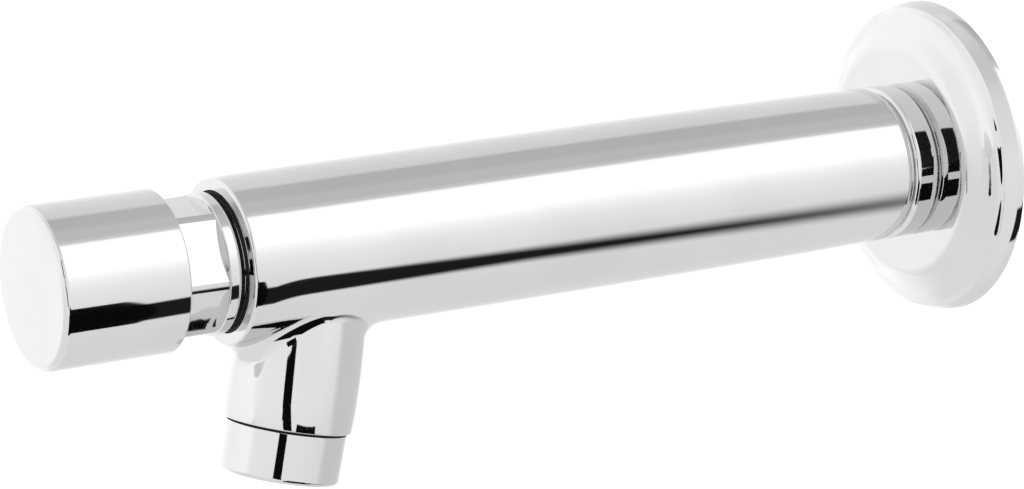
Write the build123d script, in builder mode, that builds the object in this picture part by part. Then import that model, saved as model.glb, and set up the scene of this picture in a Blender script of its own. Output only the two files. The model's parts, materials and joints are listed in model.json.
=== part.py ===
from build123d import *
import math
import os

# A push tap with a timed valve, for a wall: pressing the cap opens the valve, and a water-filled
# piston lets it close again slowly.
# The tap lies along Y, square to the wall. The wall face is the plane Y = 0, with the wall on the
# +Y side, and +Z is up. A station is a distance from the wall face towards the user, so it is -Y.
# The nozzle leans forward on an axis of its own, and a depth is a distance down that axis from the
# tap's axis. Lengths are in millimetres, angles in degrees.

os.makedirs("parts", exist_ok=True)

# Clearances and cutting
overrun = 2.0  # how far a cutting shape passes the face that it cuts
thread_gap = 0.05  # all round between a screwed cylinder and its hole
face_gap = 0.05  # between two faces that are drawn up to each other
running_gap = 0.05  # all round between a sliding piece and its bore
seal_gap = 0.05  # between a seal and the faces of its groove
match = 0.001  # how closely an edge has to lie where it is looked for

# Body: a cast tube with the nozzle on its underside
body_radius = 16.5
body_bulge = 0.15  # extra radius half way along
body_slimming = 0.42  # how much the body narrows towards the wall, over its last part
slimming_power = 8  # the higher, the closer to the wall the narrowing begins
body_rear = 15.5
body_length = 151.5
body_rear_round = 1.4
body_front_round = 0.9
waterway_radius = 11.5
seal_recess_radius = 15.0
seal_recess_depth = 3.5
outlet_chamber_radius = 12.3
outlet_chamber_length = 25.3
land_length = 12.0
land_bore_radius = 9.05
socket_run_out = 1.0

# Nozzle
nozzle_setback = 20.2  # from the body's front face back to where the two axes cross
nozzle_tilt = 13.5
nozzle_root_radius = 12.35
nozzle_belly_radius = 13.1
nozzle_belly_share = 0.8  # of the way down to the rim
nozzle_rim_radius = 12.75
nozzle_depth = 35.1
nozzle_rim_round = 0.3
nozzle_blend = 4.2
nozzle_passage_radius = 6.5
aerator_thread_radius = 11.0
aerator_socket_depth = 9.6

# Connector: joins the body to the supply in the wall
inlet_thread_radius = 10.48  # G 1/2 outside thread
inlet_tail_length = 13.0
inlet_tail_chamfer = 1.0
inlet_thread_start = 1.0
inlet_relief_radius = 9.2
inlet_relief_width = 1.6
inlet_bore_radius = 6.4
shank_radius = 12.0
connector_thread_radius = 12.2
connector_thread_length = 15.0
connector_seal_cord = 1.8
connector_groove_width = 2.2
connector_groove_setback = 1.2
neck_radius = 16.1
neck_straight = 4.4
neck_drop = 0.4  # how much smaller the rounded end of the neck is
neck_end_setback = 1.1  # from the neck's surface down to the groove beside the body
neck_end_width = 0.6
limiter_radius = 7.8
limiter_thickness = 3.0
limiter_hole_radius = 2.2
limiter_depth = 8.0
strainer_rim_radius = 8.4
strainer_rim_depth = 1.8
strainer_rim_thickness = 1.1
strainer_basket_radius = 6.4
strainer_basket_length = 5.2
strainer_wall = 0.7
strainer_hole_radius = 0.8
strainer_hole_count = 8
strainer_hole_rows = 2
strainer_end_holes = 6

# Wall flange and its gasket
flange_radius = 33.0
flange_edge_setback = 1.1  # from the largest radius in to the front edge
flange_edge_height = 4.0
flange_edge_round = 0.4
flange_crest_share = 0.39  # of the way from the dish's lowest ring out to the largest radius
flange_crest_height = 7.0
flange_foot = 1.7  # from the collar out to the lowest ring of the dish
flange_dish_height = 3.4
flange_wall = 1.6
flange_rim_wall = 1.9
collar_height = 9.0
collar_wall = 1.8
collar_edge = 0.2
collar_clearance = 0.3
gasket_thickness = 1.9
gasket_width = 4.0

# Bonnet: the hexagonal head that closes the body
bonnet_thread_radius = 13.2
bonnet_thread_length = 7.2
bonnet_seat_radius = 13.6
bonnet_seal_cord = 1.3
bonnet_collar_radius = 14.0
bonnet_collar_stand = 1.4  # from the body's front face to the collar
bonnet_collar_width = 3.5
bonnet_collar_chamfer = 0.3
bonnet_cone_length = 0.3
hex_across_flats = 24.4
hex_length = 12.1
hex_turn = -8.0  # of a corner, from +X up towards +Z
hex_corner_round = 1.4
guide_boss_radius = 8.4
guide_boss_length = 2.5
bonnet_web = 7.05
sleeve_engagement = 5.6

# Stem and the seals round it
stem_radius = 4.0
stem_tail_radius = 3.0
stem_thread_radius = 2.25
stem_seal_cord = 2.4
spacer_thickness = 1.0
bush_flange_radius = 7.6
bush_flange_thickness = 1.0

# Timing piston, in its sleeve
sleeve_radius = 10.9
sleeve_bore_radius = 9.2
sleeve_floor_thickness = 2.5
sleeve_window_width = 8.0
sleeve_window_length = 7.4
sleeve_seal_cord = 1.8
sleeve_seal_groove_width = 2.3
port_radius = 5.6
lip_width = 1.2
lip_height = 0.8
piston_front_gap = 0.95
piston_length = 6.0
piston_clearance = 0.45
cup_length = 3.2
cup_setback = 1.4
cup_root_radius = 7.2
cup_lip_thickness = 0.6
cup_lip_depth = 1.9
metering_pin_radius = 0.5
metering_pin_head_radius = 0.85
metering_pin_head = 0.6
metering_pin_place = 5.3
clip_radius = 4.7
clip_thickness = 0.8
clip_groove_radius = 2.6
clip_opening = 3.4

# Valve: a rubber washer that closes on the sleeve's lip
valve_rest_gap = 0.2
valve_washer_radius = 7.4
valve_washer_thickness = 3.0
valve_washer_proud = 0.9
valve_holder_radius = 8.3
valve_holder_back = 3.5
valve_nut_across_flats = 8.0
valve_nut_thickness = 3.2
stem_end_length = 1.8

# Push cap and its spring
push_travel = 7.5
cap_radius = 16.0
cap_wall = 1.4
cap_length = 26.15
cap_front_thickness = 3.4
cap_front_round = 1.3
cap_rear_round = 0.4
cap_rear_gap = 1.45  # left to the bonnet's collar when the cap is fully pushed
cap_boss_radius = 6.5
cap_stop_gap = 0.6
stem_end_gap = 0.5
spring_radius = 10.2
spring_wire_radius = 0.65
spring_turns = 6
spring_end_gap = 0.5

# Aerator, screwed into the nozzle
aerator_seam = 0.35
aerator_radius = 12.0
aerator_end_radius = 11.8
aerator_length = 10.15
aerator_edge_round = 1.0
aerator_bore_radius = 9.9
aerator_lip = 1.0
aerator_lip_thickness = 1.2
aerator_washer_thickness = 1.8
aerator_washer_hole_radius = 8.4
jet_plate_thickness = 1.5
jet_plate_rim = 1.2
jet_plate_height = 4.0
jet_hole_radius = 0.7
jet_hole_ring = 6.2
jet_hole_count = 12
screen_thickness = 1.0
screen_pitch = 1.5
screen_bar = 0.45
screen_rim = 1.2
cage_wall = 1.2
cage_bar_width = 1.2
cage_bar_count = 3

# Planes and axes. In a section plane the first coordinate is a radius and the second a station.
tap_section = Plane(origin=(0, 0, 0), x_dir=(1, 0, 0), z_dir=(0, 0, -1))
lean = math.radians(nozzle_tilt)

# Stations along the body
body_front = body_rear + body_length
recess_floor = body_front - seal_recess_depth
thread_floor = recess_floor - bonnet_thread_length
land_front = thread_floor - outlet_chamber_length
land_rear = land_front - land_length
socket_floor = body_rear + connector_thread_length + socket_run_out
nozzle_station = body_front - nozzle_setback
socket_radius = connector_thread_radius + thread_gap
nozzle_section = Plane(
    origin=(0, -nozzle_station, 0), x_dir=(1, 0, 0), z_dir=(0, math.cos(lean), -math.sin(lean))
)

# Stations in the bonnet
bonnet_rear = thread_floor + face_gap
chamber_front = bonnet_rear + sleeve_engagement
seal_ledge = chamber_front + bonnet_web
collar_rear = body_front + bonnet_collar_stand
collar_front = collar_rear + bonnet_collar_width
hex_front = collar_front + hex_length
boss_front = hex_front + guide_boss_length
stack_radius = stem_radius + stem_seal_cord + running_gap + seal_gap
first_seal = seal_ledge + seal_gap + stem_seal_cord / 2
spacer_rear = first_seal + stem_seal_cord / 2 + seal_gap
spacer_front = spacer_rear + spacer_thickness
second_seal = spacer_front + seal_gap + stem_seal_cord / 2
bush_rear = second_seal + stem_seal_cord / 2 + seal_gap
bush_front = boss_front + face_gap + bush_flange_thickness

# Stations of the cap
cap_rear = collar_front + push_travel + cap_rear_gap
cap_front = cap_rear + cap_length
cap_floor = cap_front - cap_front_thickness
cap_boss_rear = bush_front + push_travel + cap_stop_gap

# Stations of the sleeve, the piston and the valve
sleeve_front = chamber_front - face_gap
sleeve_step = land_front + face_gap
sleeve_floor = sleeve_step + sleeve_floor_thickness
nose_radius = land_bore_radius - running_gap
nose_rear = land_rear + face_gap
lip_rear = nose_rear - lip_height
sleeve_groove_radius = land_bore_radius - sleeve_seal_cord - 2 * seal_gap
sleeve_groove_middle = (sleeve_step + nose_rear) / 2
piston_front = chamber_front - piston_front_gap
piston_rear = piston_front - piston_length
piston_radius = sleeve_bore_radius - piston_clearance
cup_front = piston_front - cup_setback
cup_rear = cup_front - cup_length
clip_front = piston_rear - face_gap
clip_rear = clip_front - clip_thickness
washer_front = lip_rear - valve_rest_gap
washer_rear = washer_front - valve_washer_thickness
holder_front = washer_front - valve_washer_proud
holder_rear = washer_rear - face_gap - valve_holder_back
nut_front = holder_rear - face_gap
nut_rear = nut_front - valve_nut_thickness
stem_rear = nut_rear - stem_end_length
stem_front = cap_floor - stem_end_gap

# Depths down the nozzle
aerator_socket_floor = nozzle_depth - aerator_socket_depth
aerator_shoulder = nozzle_depth + aerator_seam
aerator_end = aerator_shoulder + aerator_length
aerator_washer_end = aerator_socket_floor + face_gap + aerator_washer_thickness
aerator_top = aerator_washer_end + face_gap
aerator_inner_radius = aerator_bore_radius - face_gap
lip_depth = aerator_end - aerator_lip_thickness
screen_end = lip_depth - face_gap
screen_top = screen_end - screen_thickness
jet_plate_top = aerator_top + face_gap
jet_plate_end = jet_plate_top + jet_plate_height
cage_top = jet_plate_end + face_gap
cage_end = screen_top - face_gap


def turn(plane, corners, mode=Mode.ADD):
    """Revolves a closed outline of (radius, station) corners about the plane's own long axis."""
    with BuildSketch(plane) as outline:
        with BuildLine():
            Polyline(*corners, close=True)
        make_face()
    revolve(outline.sketch, axis=Axis(plane.origin, plane.y_dir), mode=mode)


def turn_ring(plane, inner, outer, start, stop, mode=Mode.ADD):
    """Revolves a rectangle between two radii and two stations."""
    turn(plane, [(inner, start), (outer, start), (outer, stop), (inner, stop)], mode)


def turn_cord(plane, ring_radius, station, cord):
    """Makes an O-ring from the radius and station of its cord's centre and the cord's thickness."""
    with BuildSketch(plane) as outline:
        with Locations((ring_radius, station)):
            Circle(cord / 2)
    revolve(outline.sketch, axis=Axis(plane.origin, plane.y_dir))


def rims(shape, radius, station):
    """Picks the circular edges of one radius at one station along the tap."""
    circles = shape.edges().filter_by(GeomType.CIRCLE)
    return circles.filter_by(
        lambda edge: abs(edge.radius - radius) < match
        and math.hypot(edge.arc_center.X, edge.arc_center.Y + station, edge.arc_center.Z) < match
    )


def nozzle_rims(shape, radius, depth):
    """Picks the circular edges of one radius at one depth down the nozzle."""
    centre = nozzle_section.from_local_coords((0, depth, 0))
    circles = shape.edges().filter_by(GeomType.CIRCLE)
    return circles.filter_by(
        lambda edge: abs(edge.radius - radius) < match and (edge.arc_center - centre).length < match
    )


def across(station):
    """The plane square to the tap at a station, with +X across, +Z up and its normal to the user."""
    return Plane(origin=(0, -station, 0), x_dir=(1, 0, 0), z_dir=(0, -1, 0))


def down_nozzle(depth):
    """The plane square to the nozzle at a depth, with its normal pointing out of the nozzle."""
    centre = nozzle_section.from_local_coords((0, depth, 0))
    return Plane(origin=centre, x_dir=(1, 0, 0), z_dir=nozzle_section.y_dir)


def swell(station):
    """The body's radius at a station. It is fullest half way along and slimmest at the wall."""
    share = (station - body_rear) / body_length
    bulge = body_bulge * 4 * share * (1 - share)
    return body_radius + bulge - body_slimming * (1 - share) ** slimming_power


# Body. Its blend into the nozzle would reach past the front face, so the tube is made longer,
# the nozzle is blended into it, and the front is cut off square afterwards.
tube_start = body_rear + body_rear_round
tube_stop = body_front + nozzle_blend + overrun
side_steps = 12
side_step = (tube_stop - tube_start) / side_steps
side_stations = [tube_start + side_step * step for step in range(side_steps + 1)]
with BuildPart() as tap_body:
    with BuildSketch(tap_section):
        with BuildLine():
            side = Spline(*[(swell(station), station) for station in side_stations])
            rear_corner = TangentArc(
                side @ 0, (swell(tube_start) - body_rear_round, body_rear), tangent=side % 0 * -1
            )
            Polyline(rear_corner @ 1, (0, body_rear), (0, tube_stop), side @ 1)
        make_face()
    revolve(axis=Axis.Y)
    with BuildSketch(nozzle_section) as barrel:
        with BuildLine():
            flank = Spline(
                (nozzle_root_radius, 0),
                (nozzle_belly_radius, nozzle_belly_share * nozzle_depth),
                (nozzle_rim_radius, nozzle_depth),
            )
            Polyline(flank @ 1, (0, nozzle_depth), (0, 0), flank @ 0)
        make_face()
    revolve(barrel.sketch, axis=Axis(nozzle_section.origin, nozzle_section.y_dir))
    root = tap_body.edges().filter_by(GeomType.BSPLINE)
    fillet(root, nozzle_blend)
    fillet(nozzle_rims(tap_body, nozzle_rim_radius, nozzle_depth), nozzle_rim_round)
    split(bisect_by=across(body_front), keep=Keep.BOTTOM)
    fillet(tap_body.faces().sort_by(Axis.Y)[0].outer_wire().edges(), body_front_round)
    # Bores, from the wall to the front
    turn_ring(tap_section, 0, socket_radius, body_rear - overrun, socket_floor, Mode.SUBTRACT)
    turn_ring(tap_section, 0, waterway_radius, socket_floor - overrun, land_rear, Mode.SUBTRACT)
    turn_ring(tap_section, 0, land_bore_radius, land_rear - overrun, land_front, Mode.SUBTRACT)
    turn_ring(tap_section, 0, outlet_chamber_radius, land_front, thread_floor, Mode.SUBTRACT)
    bonnet_hole_radius = bonnet_thread_radius + thread_gap
    turn_ring(tap_section, 0, bonnet_hole_radius, thread_floor, body_front + overrun, Mode.SUBTRACT)
    turn_ring(tap_section, 0, seal_recess_radius, recess_floor, body_front + overrun, Mode.SUBTRACT)
    # The way out, down the nozzle
    turn_ring(nozzle_section, 0, nozzle_passage_radius, 0, nozzle_depth, Mode.SUBTRACT)
    aerator_hole_radius = aerator_thread_radius + thread_gap
    turn_ring(
        nozzle_section, 0, aerator_hole_radius, aerator_socket_floor, nozzle_depth + overrun, Mode.SUBTRACT
    )
tap_body.part.label = "tap_body"
export_step(tap_body.part, "parts/tap_body.step")

# Connector: a turned tail for the wall, a rounded neck that shows, and a thread for the body
neck_rear = collar_height + face_gap
neck_front = body_rear - face_gap
connector_front = body_rear + connector_thread_length
connector_groove_radius = socket_radius - connector_seal_cord - 2 * seal_gap
connector_groove_rear = body_rear + connector_groove_setback
with BuildPart() as inlet_connector:
    with BuildSketch(tap_section) as connector_outline:
        with BuildLine():
            tail = Polyline(
                (inlet_bore_radius, -inlet_tail_length),
                (inlet_thread_radius - inlet_tail_chamfer, -inlet_tail_length),
                (inlet_thread_radius, inlet_tail_chamfer - inlet_tail_length),
                (inlet_thread_radius, inlet_thread_start),
                (inlet_relief_radius, inlet_thread_start),
                (inlet_relief_radius, inlet_thread_start + inlet_relief_width),
                (shank_radius, inlet_thread_start + inlet_relief_width),
                (shank_radius, neck_rear),
                (neck_radius - collar_edge, neck_rear),
                (neck_radius, neck_rear + collar_edge),
                (neck_radius, neck_rear + neck_straight),
            )
            bead = TangentArc(
                tail @ 1, (neck_radius - neck_drop, neck_front - neck_end_width), tangent=(0, 1)
            )
            Polyline(
                bead @ 1,
                (neck_radius - neck_end_setback, neck_front - neck_end_width),
                (neck_radius - neck_end_setback, neck_front),
                (connector_thread_radius, neck_front),
                (connector_thread_radius, connector_front),
                (inlet_bore_radius, connector_front),
                tail @ 0,
            )
        make_face()
    revolve(axis=Axis.Y)
    turn_ring(
        tap_section,
        connector_groove_radius,
        connector_thread_radius + overrun,
        connector_groove_rear,
        connector_groove_rear + connector_groove_width,
        Mode.SUBTRACT,
    )
    limiter_ledge = limiter_depth + limiter_thickness - inlet_tail_length
    turn_ring(
        tap_section, 0, limiter_radius + face_gap, -inlet_tail_length, limiter_ledge, Mode.SUBTRACT
    )
    rim_ledge = strainer_rim_depth - inlet_tail_length
    turn_ring(
        tap_section, 0, strainer_rim_radius + face_gap, -inlet_tail_length, rim_ledge, Mode.SUBTRACT
    )
inlet_connector.part.label = "inlet_connector"
export_step(inlet_connector.part, "parts/inlet_connector.step")

with BuildPart() as connector_seal:
    turn_cord(
        tap_section,
        connector_groove_radius + seal_gap + connector_seal_cord / 2,
        connector_groove_rear + connector_groove_width / 2,
        connector_seal_cord,
    )
connector_seal.part.label = "connector_seal"
export_step(connector_seal.part, "parts/connector_seal.step")

# Flow limiter: a disc with one hole, against the ledge in the tail
with BuildPart() as flow_limiter:
    limiter_front = limiter_ledge - face_gap
    turn_ring(
        tap_section, limiter_hole_radius, limiter_radius, limiter_front - limiter_thickness, limiter_front
    )
flow_limiter.part.label = "flow_limiter"
export_step(flow_limiter.part, "parts/flow_limiter.step")

# Inlet strainer: a rim and a pierced basket in the mouth of the tail
with BuildPart() as inlet_strainer:
    strainer_front = rim_ledge - face_gap
    strainer_rear = strainer_front - strainer_rim_thickness
    basket_front = strainer_rear + strainer_basket_length
    basket_inner = strainer_basket_radius - strainer_wall
    turn_ring(tap_section, basket_inner, strainer_rim_radius, strainer_rear, strainer_front)
    turn_ring(tap_section, basket_inner, strainer_basket_radius, strainer_rear, basket_front)
    turn_ring(tap_section, 0, strainer_basket_radius, basket_front - strainer_wall, basket_front)
    row_step = (basket_front - strainer_wall - strainer_front) / strainer_hole_rows
    for row in range(strainer_hole_rows):
        row_station = strainer_front + (row + 1 / 2) * row_step
        for place in range(strainer_hole_count // 2):
            hole_turn = place * 360 / strainer_hole_count
            with Locations(Location((0, -row_station, 0), (0, hole_turn, 0))):
                Cylinder(strainer_hole_radius, 2 * (strainer_basket_radius + overrun), mode=Mode.SUBTRACT)
    with BuildSketch(across(basket_front)):
        with PolarLocations(basket_inner / 2, strainer_end_holes):
            Circle(strainer_hole_radius)
    extrude(amount=-strainer_wall - overrun, mode=Mode.SUBTRACT)
inlet_strainer.part.label = "inlet_strainer"
export_step(inlet_strainer.part, "parts/inlet_strainer.step")

# Wall flange: a dished shell with a collar. Two equal arcs join its crest to its dish.
flange_edge_radius = flange_radius - flange_edge_setback
flange_dish_radius = neck_radius + flange_foot
flange_crest_radius = flange_dish_radius + flange_crest_share * (flange_radius - flange_dish_radius)
middle_radius = (flange_crest_radius + flange_dish_radius) / 2
middle_height = (flange_crest_height + flange_dish_height) / 2
collar_hole_radius = shank_radius + collar_clearance
collar_inner_radius = neck_radius - collar_wall
rim_inner_radius = flange_radius - flange_rim_wall
gasket_seat = gasket_thickness + face_gap
with BuildPart() as wall_flange:
    with BuildSketch(tap_section) as flange_outline:
        with BuildLine():
            collar = Polyline(
                (collar_hole_radius, collar_height),
                (neck_radius - collar_edge, collar_height),
                (neck_radius, collar_height - collar_edge),
                (neck_radius, flange_dish_height + flange_foot),
            )
            foot = TangentArc(collar @ 1, (flange_dish_radius, flange_dish_height), tangent=(0, -1))
            dish = TangentArc(foot @ 1, (middle_radius, middle_height), tangent=(1, 0))
            crest_start = (flange_crest_radius, flange_crest_height)
            crest_inner = TangentArc(crest_start, dish @ 1, tangent=(-1, 0))
            crest_outer = TangentArc(crest_start, (flange_edge_radius, flange_edge_height), tangent=(1, 0))
            Polyline(
                crest_outer @ 1,
                (flange_radius, 0),
                (rim_inner_radius, 0),
                (rim_inner_radius, gasket_seat),
                (rim_inner_radius - gasket_width, gasket_seat),
                (flange_crest_radius, flange_crest_height - flange_wall),
                (middle_radius, middle_height - flange_wall),
                (flange_dish_radius, flange_dish_height - flange_wall),
                (collar_inner_radius, flange_dish_height - flange_wall),
                (collar_inner_radius, collar_height - collar_wall),
                (collar_hole_radius, collar_height - collar_wall),
                collar @ 0,
            )
        make_face()
    revolve(axis=Axis.Y)
    fillet(rims(wall_flange, flange_edge_radius, flange_edge_height), flange_edge_round)
wall_flange.part.label = "wall_flange"
export_step(wall_flange.part, "parts/wall_flange.step")

with BuildPart() as wall_gasket:
    turn_ring(
        tap_section,
        rim_inner_radius - gasket_width,
        rim_inner_radius - face_gap,
        0,
        gasket_thickness,
    )
wall_gasket.part.label = "wall_gasket"
export_step(wall_gasket.part, "parts/wall_gasket.step")

# Bonnet: thread, seal seat, collar, and a hexagon that runs in under the cap. A turned cone
# joins the collar to the flats.
hex_inner_radius = hex_across_flats / 2
cone_front = collar_front + bonnet_cone_length
sleeve_hole_radius = sleeve_radius + thread_gap
with BuildPart() as bonnet:
    with BuildSketch(across(collar_front)) as hexagon:
        RegularPolygon(hex_inner_radius, 6, major_radius=False, rotation=hex_turn)
        fillet(hexagon.vertices(), hex_corner_round)
    extrude(amount=hex_length)
    turn(
        tap_section,
        [
            (0, bonnet_rear),
            (bonnet_thread_radius, bonnet_rear),
            (bonnet_thread_radius, recess_floor + face_gap),
            (bonnet_seat_radius, recess_floor + face_gap),
            (bonnet_seat_radius, collar_rear),
            (bonnet_collar_radius - bonnet_collar_chamfer, collar_rear),
            (bonnet_collar_radius, collar_rear + bonnet_collar_chamfer),
            (bonnet_collar_radius, collar_front),
            (hex_inner_radius, cone_front),
            (0, cone_front),
        ],
    )
    turn_ring(tap_section, 0, guide_boss_radius, cone_front, boss_front)
    # Bores: the sleeve's thread, the stem's way through, and the room for its seals and bush
    turn_ring(tap_section, 0, sleeve_hole_radius, bonnet_rear - overrun, chamber_front, Mode.SUBTRACT)
    stem_hole_radius = stem_radius + running_gap
    turn_ring(tap_section, 0, stem_hole_radius, chamber_front - overrun, seal_ledge, Mode.SUBTRACT)
    turn_ring(tap_section, 0, stack_radius, seal_ledge, boss_front + overrun, Mode.SUBTRACT)
bonnet.part.label = "bonnet"
export_step(bonnet.part, "parts/bonnet.step")

# The black ring that shows between the body and the bonnet's collar
with BuildPart() as bonnet_seal:
    turn_cord(
        tap_section,
        bonnet_seat_radius + seal_gap + bonnet_seal_cord / 2,
        body_front,
        bonnet_seal_cord,
    )
bonnet_seal.part.label = "bonnet_seal"
export_step(bonnet_seal.part, "parts/bonnet_seal.step")

# Stem: one turned rod from the cap's boss to the valve's nut, with a groove for the clip
with BuildPart() as stem:
    turn(
        tap_section,
        [
            (0, stem_rear),
            (stem_thread_radius, stem_rear),
            (stem_thread_radius, washer_front),
            (stem_tail_radius, washer_front),
            (stem_tail_radius, clip_rear - face_gap),
            (clip_groove_radius, clip_rear - face_gap),
            (clip_groove_radius, clip_front + face_gap),
            (stem_tail_radius, clip_front + face_gap),
            (stem_tail_radius, piston_front),
            (stem_radius, piston_front),
            (stem_radius, stem_front),
            (0, stem_front),
        ],
    )
stem.part.label = "stem"
export_step(stem.part, "parts/stem.step")

# The two O-rings that the stem slides through, with a spacer between them
with BuildPart() as stem_seals:
    for seal_station in (first_seal, second_seal):
        turn_cord(
            tap_section, stem_radius + running_gap + stem_seal_cord / 2, seal_station, stem_seal_cord
        )
stem_seals.part.label = "stem_seals"
export_step(stem_seals.part, "parts/stem_seals.step")

with BuildPart() as seal_spacer:
    turn_ring(tap_section, stem_hole_radius, stack_radius - face_gap, spacer_rear, spacer_front)
seal_spacer.part.label = "seal_spacer"
export_step(seal_spacer.part, "parts/seal_spacer.step")

# Guide bush: holds the seals in and steadies the stem
with BuildPart() as guide_bush:
    turn(
        tap_section,
        [
            (stem_hole_radius, bush_rear),
            (stack_radius - face_gap, bush_rear),
            (stack_radius - face_gap, boss_front + face_gap),
            (bush_flange_radius, boss_front + face_gap),
            (bush_flange_radius, bush_front),
            (stem_hole_radius, bush_front),
        ],
    )
guide_bush.part.label = "guide_bush"
export_step(guide_bush.part, "parts/guide_bush.step")

# Timing sleeve: the piston's cylinder in front, windows for the water, and a nose with the seat
middle_of_windows = sleeve_floor + sleeve_window_length / 2
with BuildPart() as timing_sleeve:
    turn(
        tap_section,
        [
            (port_radius, lip_rear),
            (port_radius + lip_width, lip_rear),
            (port_radius + lip_width, nose_rear),
            (nose_radius, nose_rear),
            (nose_radius, sleeve_step),
            (sleeve_radius, sleeve_step),
            (sleeve_radius, sleeve_front),
            (sleeve_bore_radius, sleeve_front),
            (sleeve_bore_radius, sleeve_floor),
            (port_radius, sleeve_floor),
        ],
    )
    turn_ring(
        tap_section,
        sleeve_groove_radius,
        nose_radius + overrun,
        sleeve_groove_middle - sleeve_seal_groove_width / 2,
        sleeve_groove_middle + sleeve_seal_groove_width / 2,
        Mode.SUBTRACT,
    )
    for window_plane in (Plane.XY, Plane.ZY):
        with BuildSketch(window_plane) as window:
            with Locations((0, -middle_of_windows)):
                Rectangle(sleeve_window_width, sleeve_window_length)
        extrude(window.sketch, amount=sleeve_radius + overrun, both=True, mode=Mode.SUBTRACT)
timing_sleeve.part.label = "timing_sleeve"
export_step(timing_sleeve.part, "parts/timing_sleeve.step")

with BuildPart() as sleeve_seal:
    turn_cord(
        tap_section,
        sleeve_groove_radius + seal_gap + sleeve_seal_cord / 2,
        sleeve_groove_middle,
        sleeve_seal_cord,
    )
sleeve_seal.part.label = "sleeve_seal"
export_step(sleeve_seal.part, "parts/sleeve_seal.step")

# Timing piston: carries the cup seal in a groove and the metering pin in a small hole
with BuildPart() as timing_piston:
    turn_ring(tap_section, stem_tail_radius + face_gap, piston_radius, piston_rear, piston_front)
    turn_ring(tap_section, cup_root_radius, piston_radius + overrun, cup_rear, cup_front, Mode.SUBTRACT)
    with BuildSketch(across(piston_front)):
        with Locations((metering_pin_place, 0)):
            Circle(metering_pin_radius + running_gap)
    extrude(amount=-piston_length - overrun, mode=Mode.SUBTRACT)
timing_piston.part.label = "timing_piston"
export_step(timing_piston.part, "parts/timing_piston.step")

# Cup seal: its lip opens to the front, so water slips past it one way and is held the other
with BuildPart() as piston_cup:
    cup_radius = sleeve_bore_radius - running_gap
    turn_ring(
        tap_section, cup_root_radius + seal_gap, cup_radius, cup_rear + seal_gap, cup_front - seal_gap
    )
    turn_ring(
        tap_section,
        cup_root_radius + seal_gap + cup_lip_thickness,
        cup_radius - cup_lip_thickness,
        cup_front - cup_lip_depth,
        cup_front + overrun,
        Mode.SUBTRACT,
    )
piston_cup.part.label = "piston_cup"
export_step(piston_cup.part, "parts/piston_cup.step")

# Metering pin: lies loose in the piston's hole, so the water creeps past it and keeps it clean
with BuildPart() as metering_pin:
    pin_head = piston_front + face_gap
    with BuildSketch(across(piston_rear)):
        with Locations((metering_pin_place, 0)):
            Circle(metering_pin_radius)
    extrude(amount=pin_head - piston_rear)
    with BuildSketch(across(pin_head)):
        with Locations((metering_pin_place, 0)):
            Circle(metering_pin_head_radius)
    extrude(amount=metering_pin_head)
metering_pin.part.label = "metering_pin"
export_step(metering_pin.part, "parts/metering_pin.step")

# Piston clip: a snap ring with a mouth, behind the piston
with BuildPart() as piston_clip:
    with BuildSketch(across(clip_rear)):
        Circle(clip_radius)
        Circle(clip_groove_radius + running_gap, mode=Mode.SUBTRACT)
        with Locations((0, -clip_radius)):
            Rectangle(clip_opening, 2 * clip_radius, mode=Mode.SUBTRACT)
    extrude(amount=clip_thickness)
piston_clip.part.label = "piston_clip"
export_step(piston_clip.part, "parts/piston_clip.step")

# Valve: the washer in its holder, and the nut that clamps both on the stem
clamp_hole_radius = stem_thread_radius + thread_gap
with BuildPart() as valve_washer:
    turn_ring(tap_section, clamp_hole_radius, valve_washer_radius, washer_rear, washer_front)
valve_washer.part.label = "valve_washer"
export_step(valve_washer.part, "parts/valve_washer.step")

with BuildPart() as washer_holder:
    turn(
        tap_section,
        [
            (clamp_hole_radius, holder_rear),
            (valve_holder_radius, holder_rear),
            (valve_holder_radius, holder_front),
            (valve_washer_radius + face_gap, holder_front),
            (valve_washer_radius + face_gap, washer_rear - face_gap),
            (clamp_hole_radius, washer_rear - face_gap),
        ],
    )
washer_holder.part.label = "washer_holder"
export_step(washer_holder.part, "parts/washer_holder.step")

with BuildPart() as washer_nut:
    with BuildSketch(across(nut_rear)):
        RegularPolygon(valve_nut_across_flats / 2, 6, major_radius=False)
        Circle(clamp_hole_radius, mode=Mode.SUBTRACT)
    extrude(amount=valve_nut_thickness)
washer_nut.part.label = "washer_nut"
export_step(washer_nut.part, "parts/washer_nut.step")

# Push cap: a cup that slides over the hexagon, with a boss for the stem's thread
with BuildPart() as push_cap:
    turn_ring(tap_section, 0, cap_radius, cap_rear, cap_front)
    fillet(rims(push_cap, cap_radius, cap_front), cap_front_round)
    fillet(rims(push_cap, cap_radius, cap_rear), cap_rear_round)
    turn_ring(tap_section, 0, cap_radius - cap_wall, cap_rear - overrun, cap_floor, Mode.SUBTRACT)
    turn_ring(tap_section, stem_radius + thread_gap, cap_boss_radius, cap_boss_rear, cap_floor)
push_cap.part.label = "push_cap"
export_step(push_cap.part, "parts/push_cap.step")


def coil_point(turns):
    """The centre of the spring's wire after a number of turns. Its pitch is least at both ends."""
    opening = turns / 2 - spring_turns / (4 * math.pi) * math.sin(2 * math.pi * turns / spring_turns)
    rise = spring_end_pitch * turns + (spring_middle_pitch - spring_end_pitch) * opening
    angle = 2 * math.pi * turns
    return Vector(
        spring_radius * math.cos(angle), -(coil_start + rise), spring_radius * math.sin(angle)
    )


def coil_heading(turns):
    """The direction of the wire there."""
    opening = (1 - math.cos(2 * math.pi * turns / spring_turns)) / 2
    rise = spring_end_pitch + (spring_middle_pitch - spring_end_pitch) * opening
    angle = 2 * math.pi * turns
    round_trip = 2 * math.pi * spring_radius
    return Vector(-round_trip * math.sin(angle), -rise, round_trip * math.cos(angle)).normalized()


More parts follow.
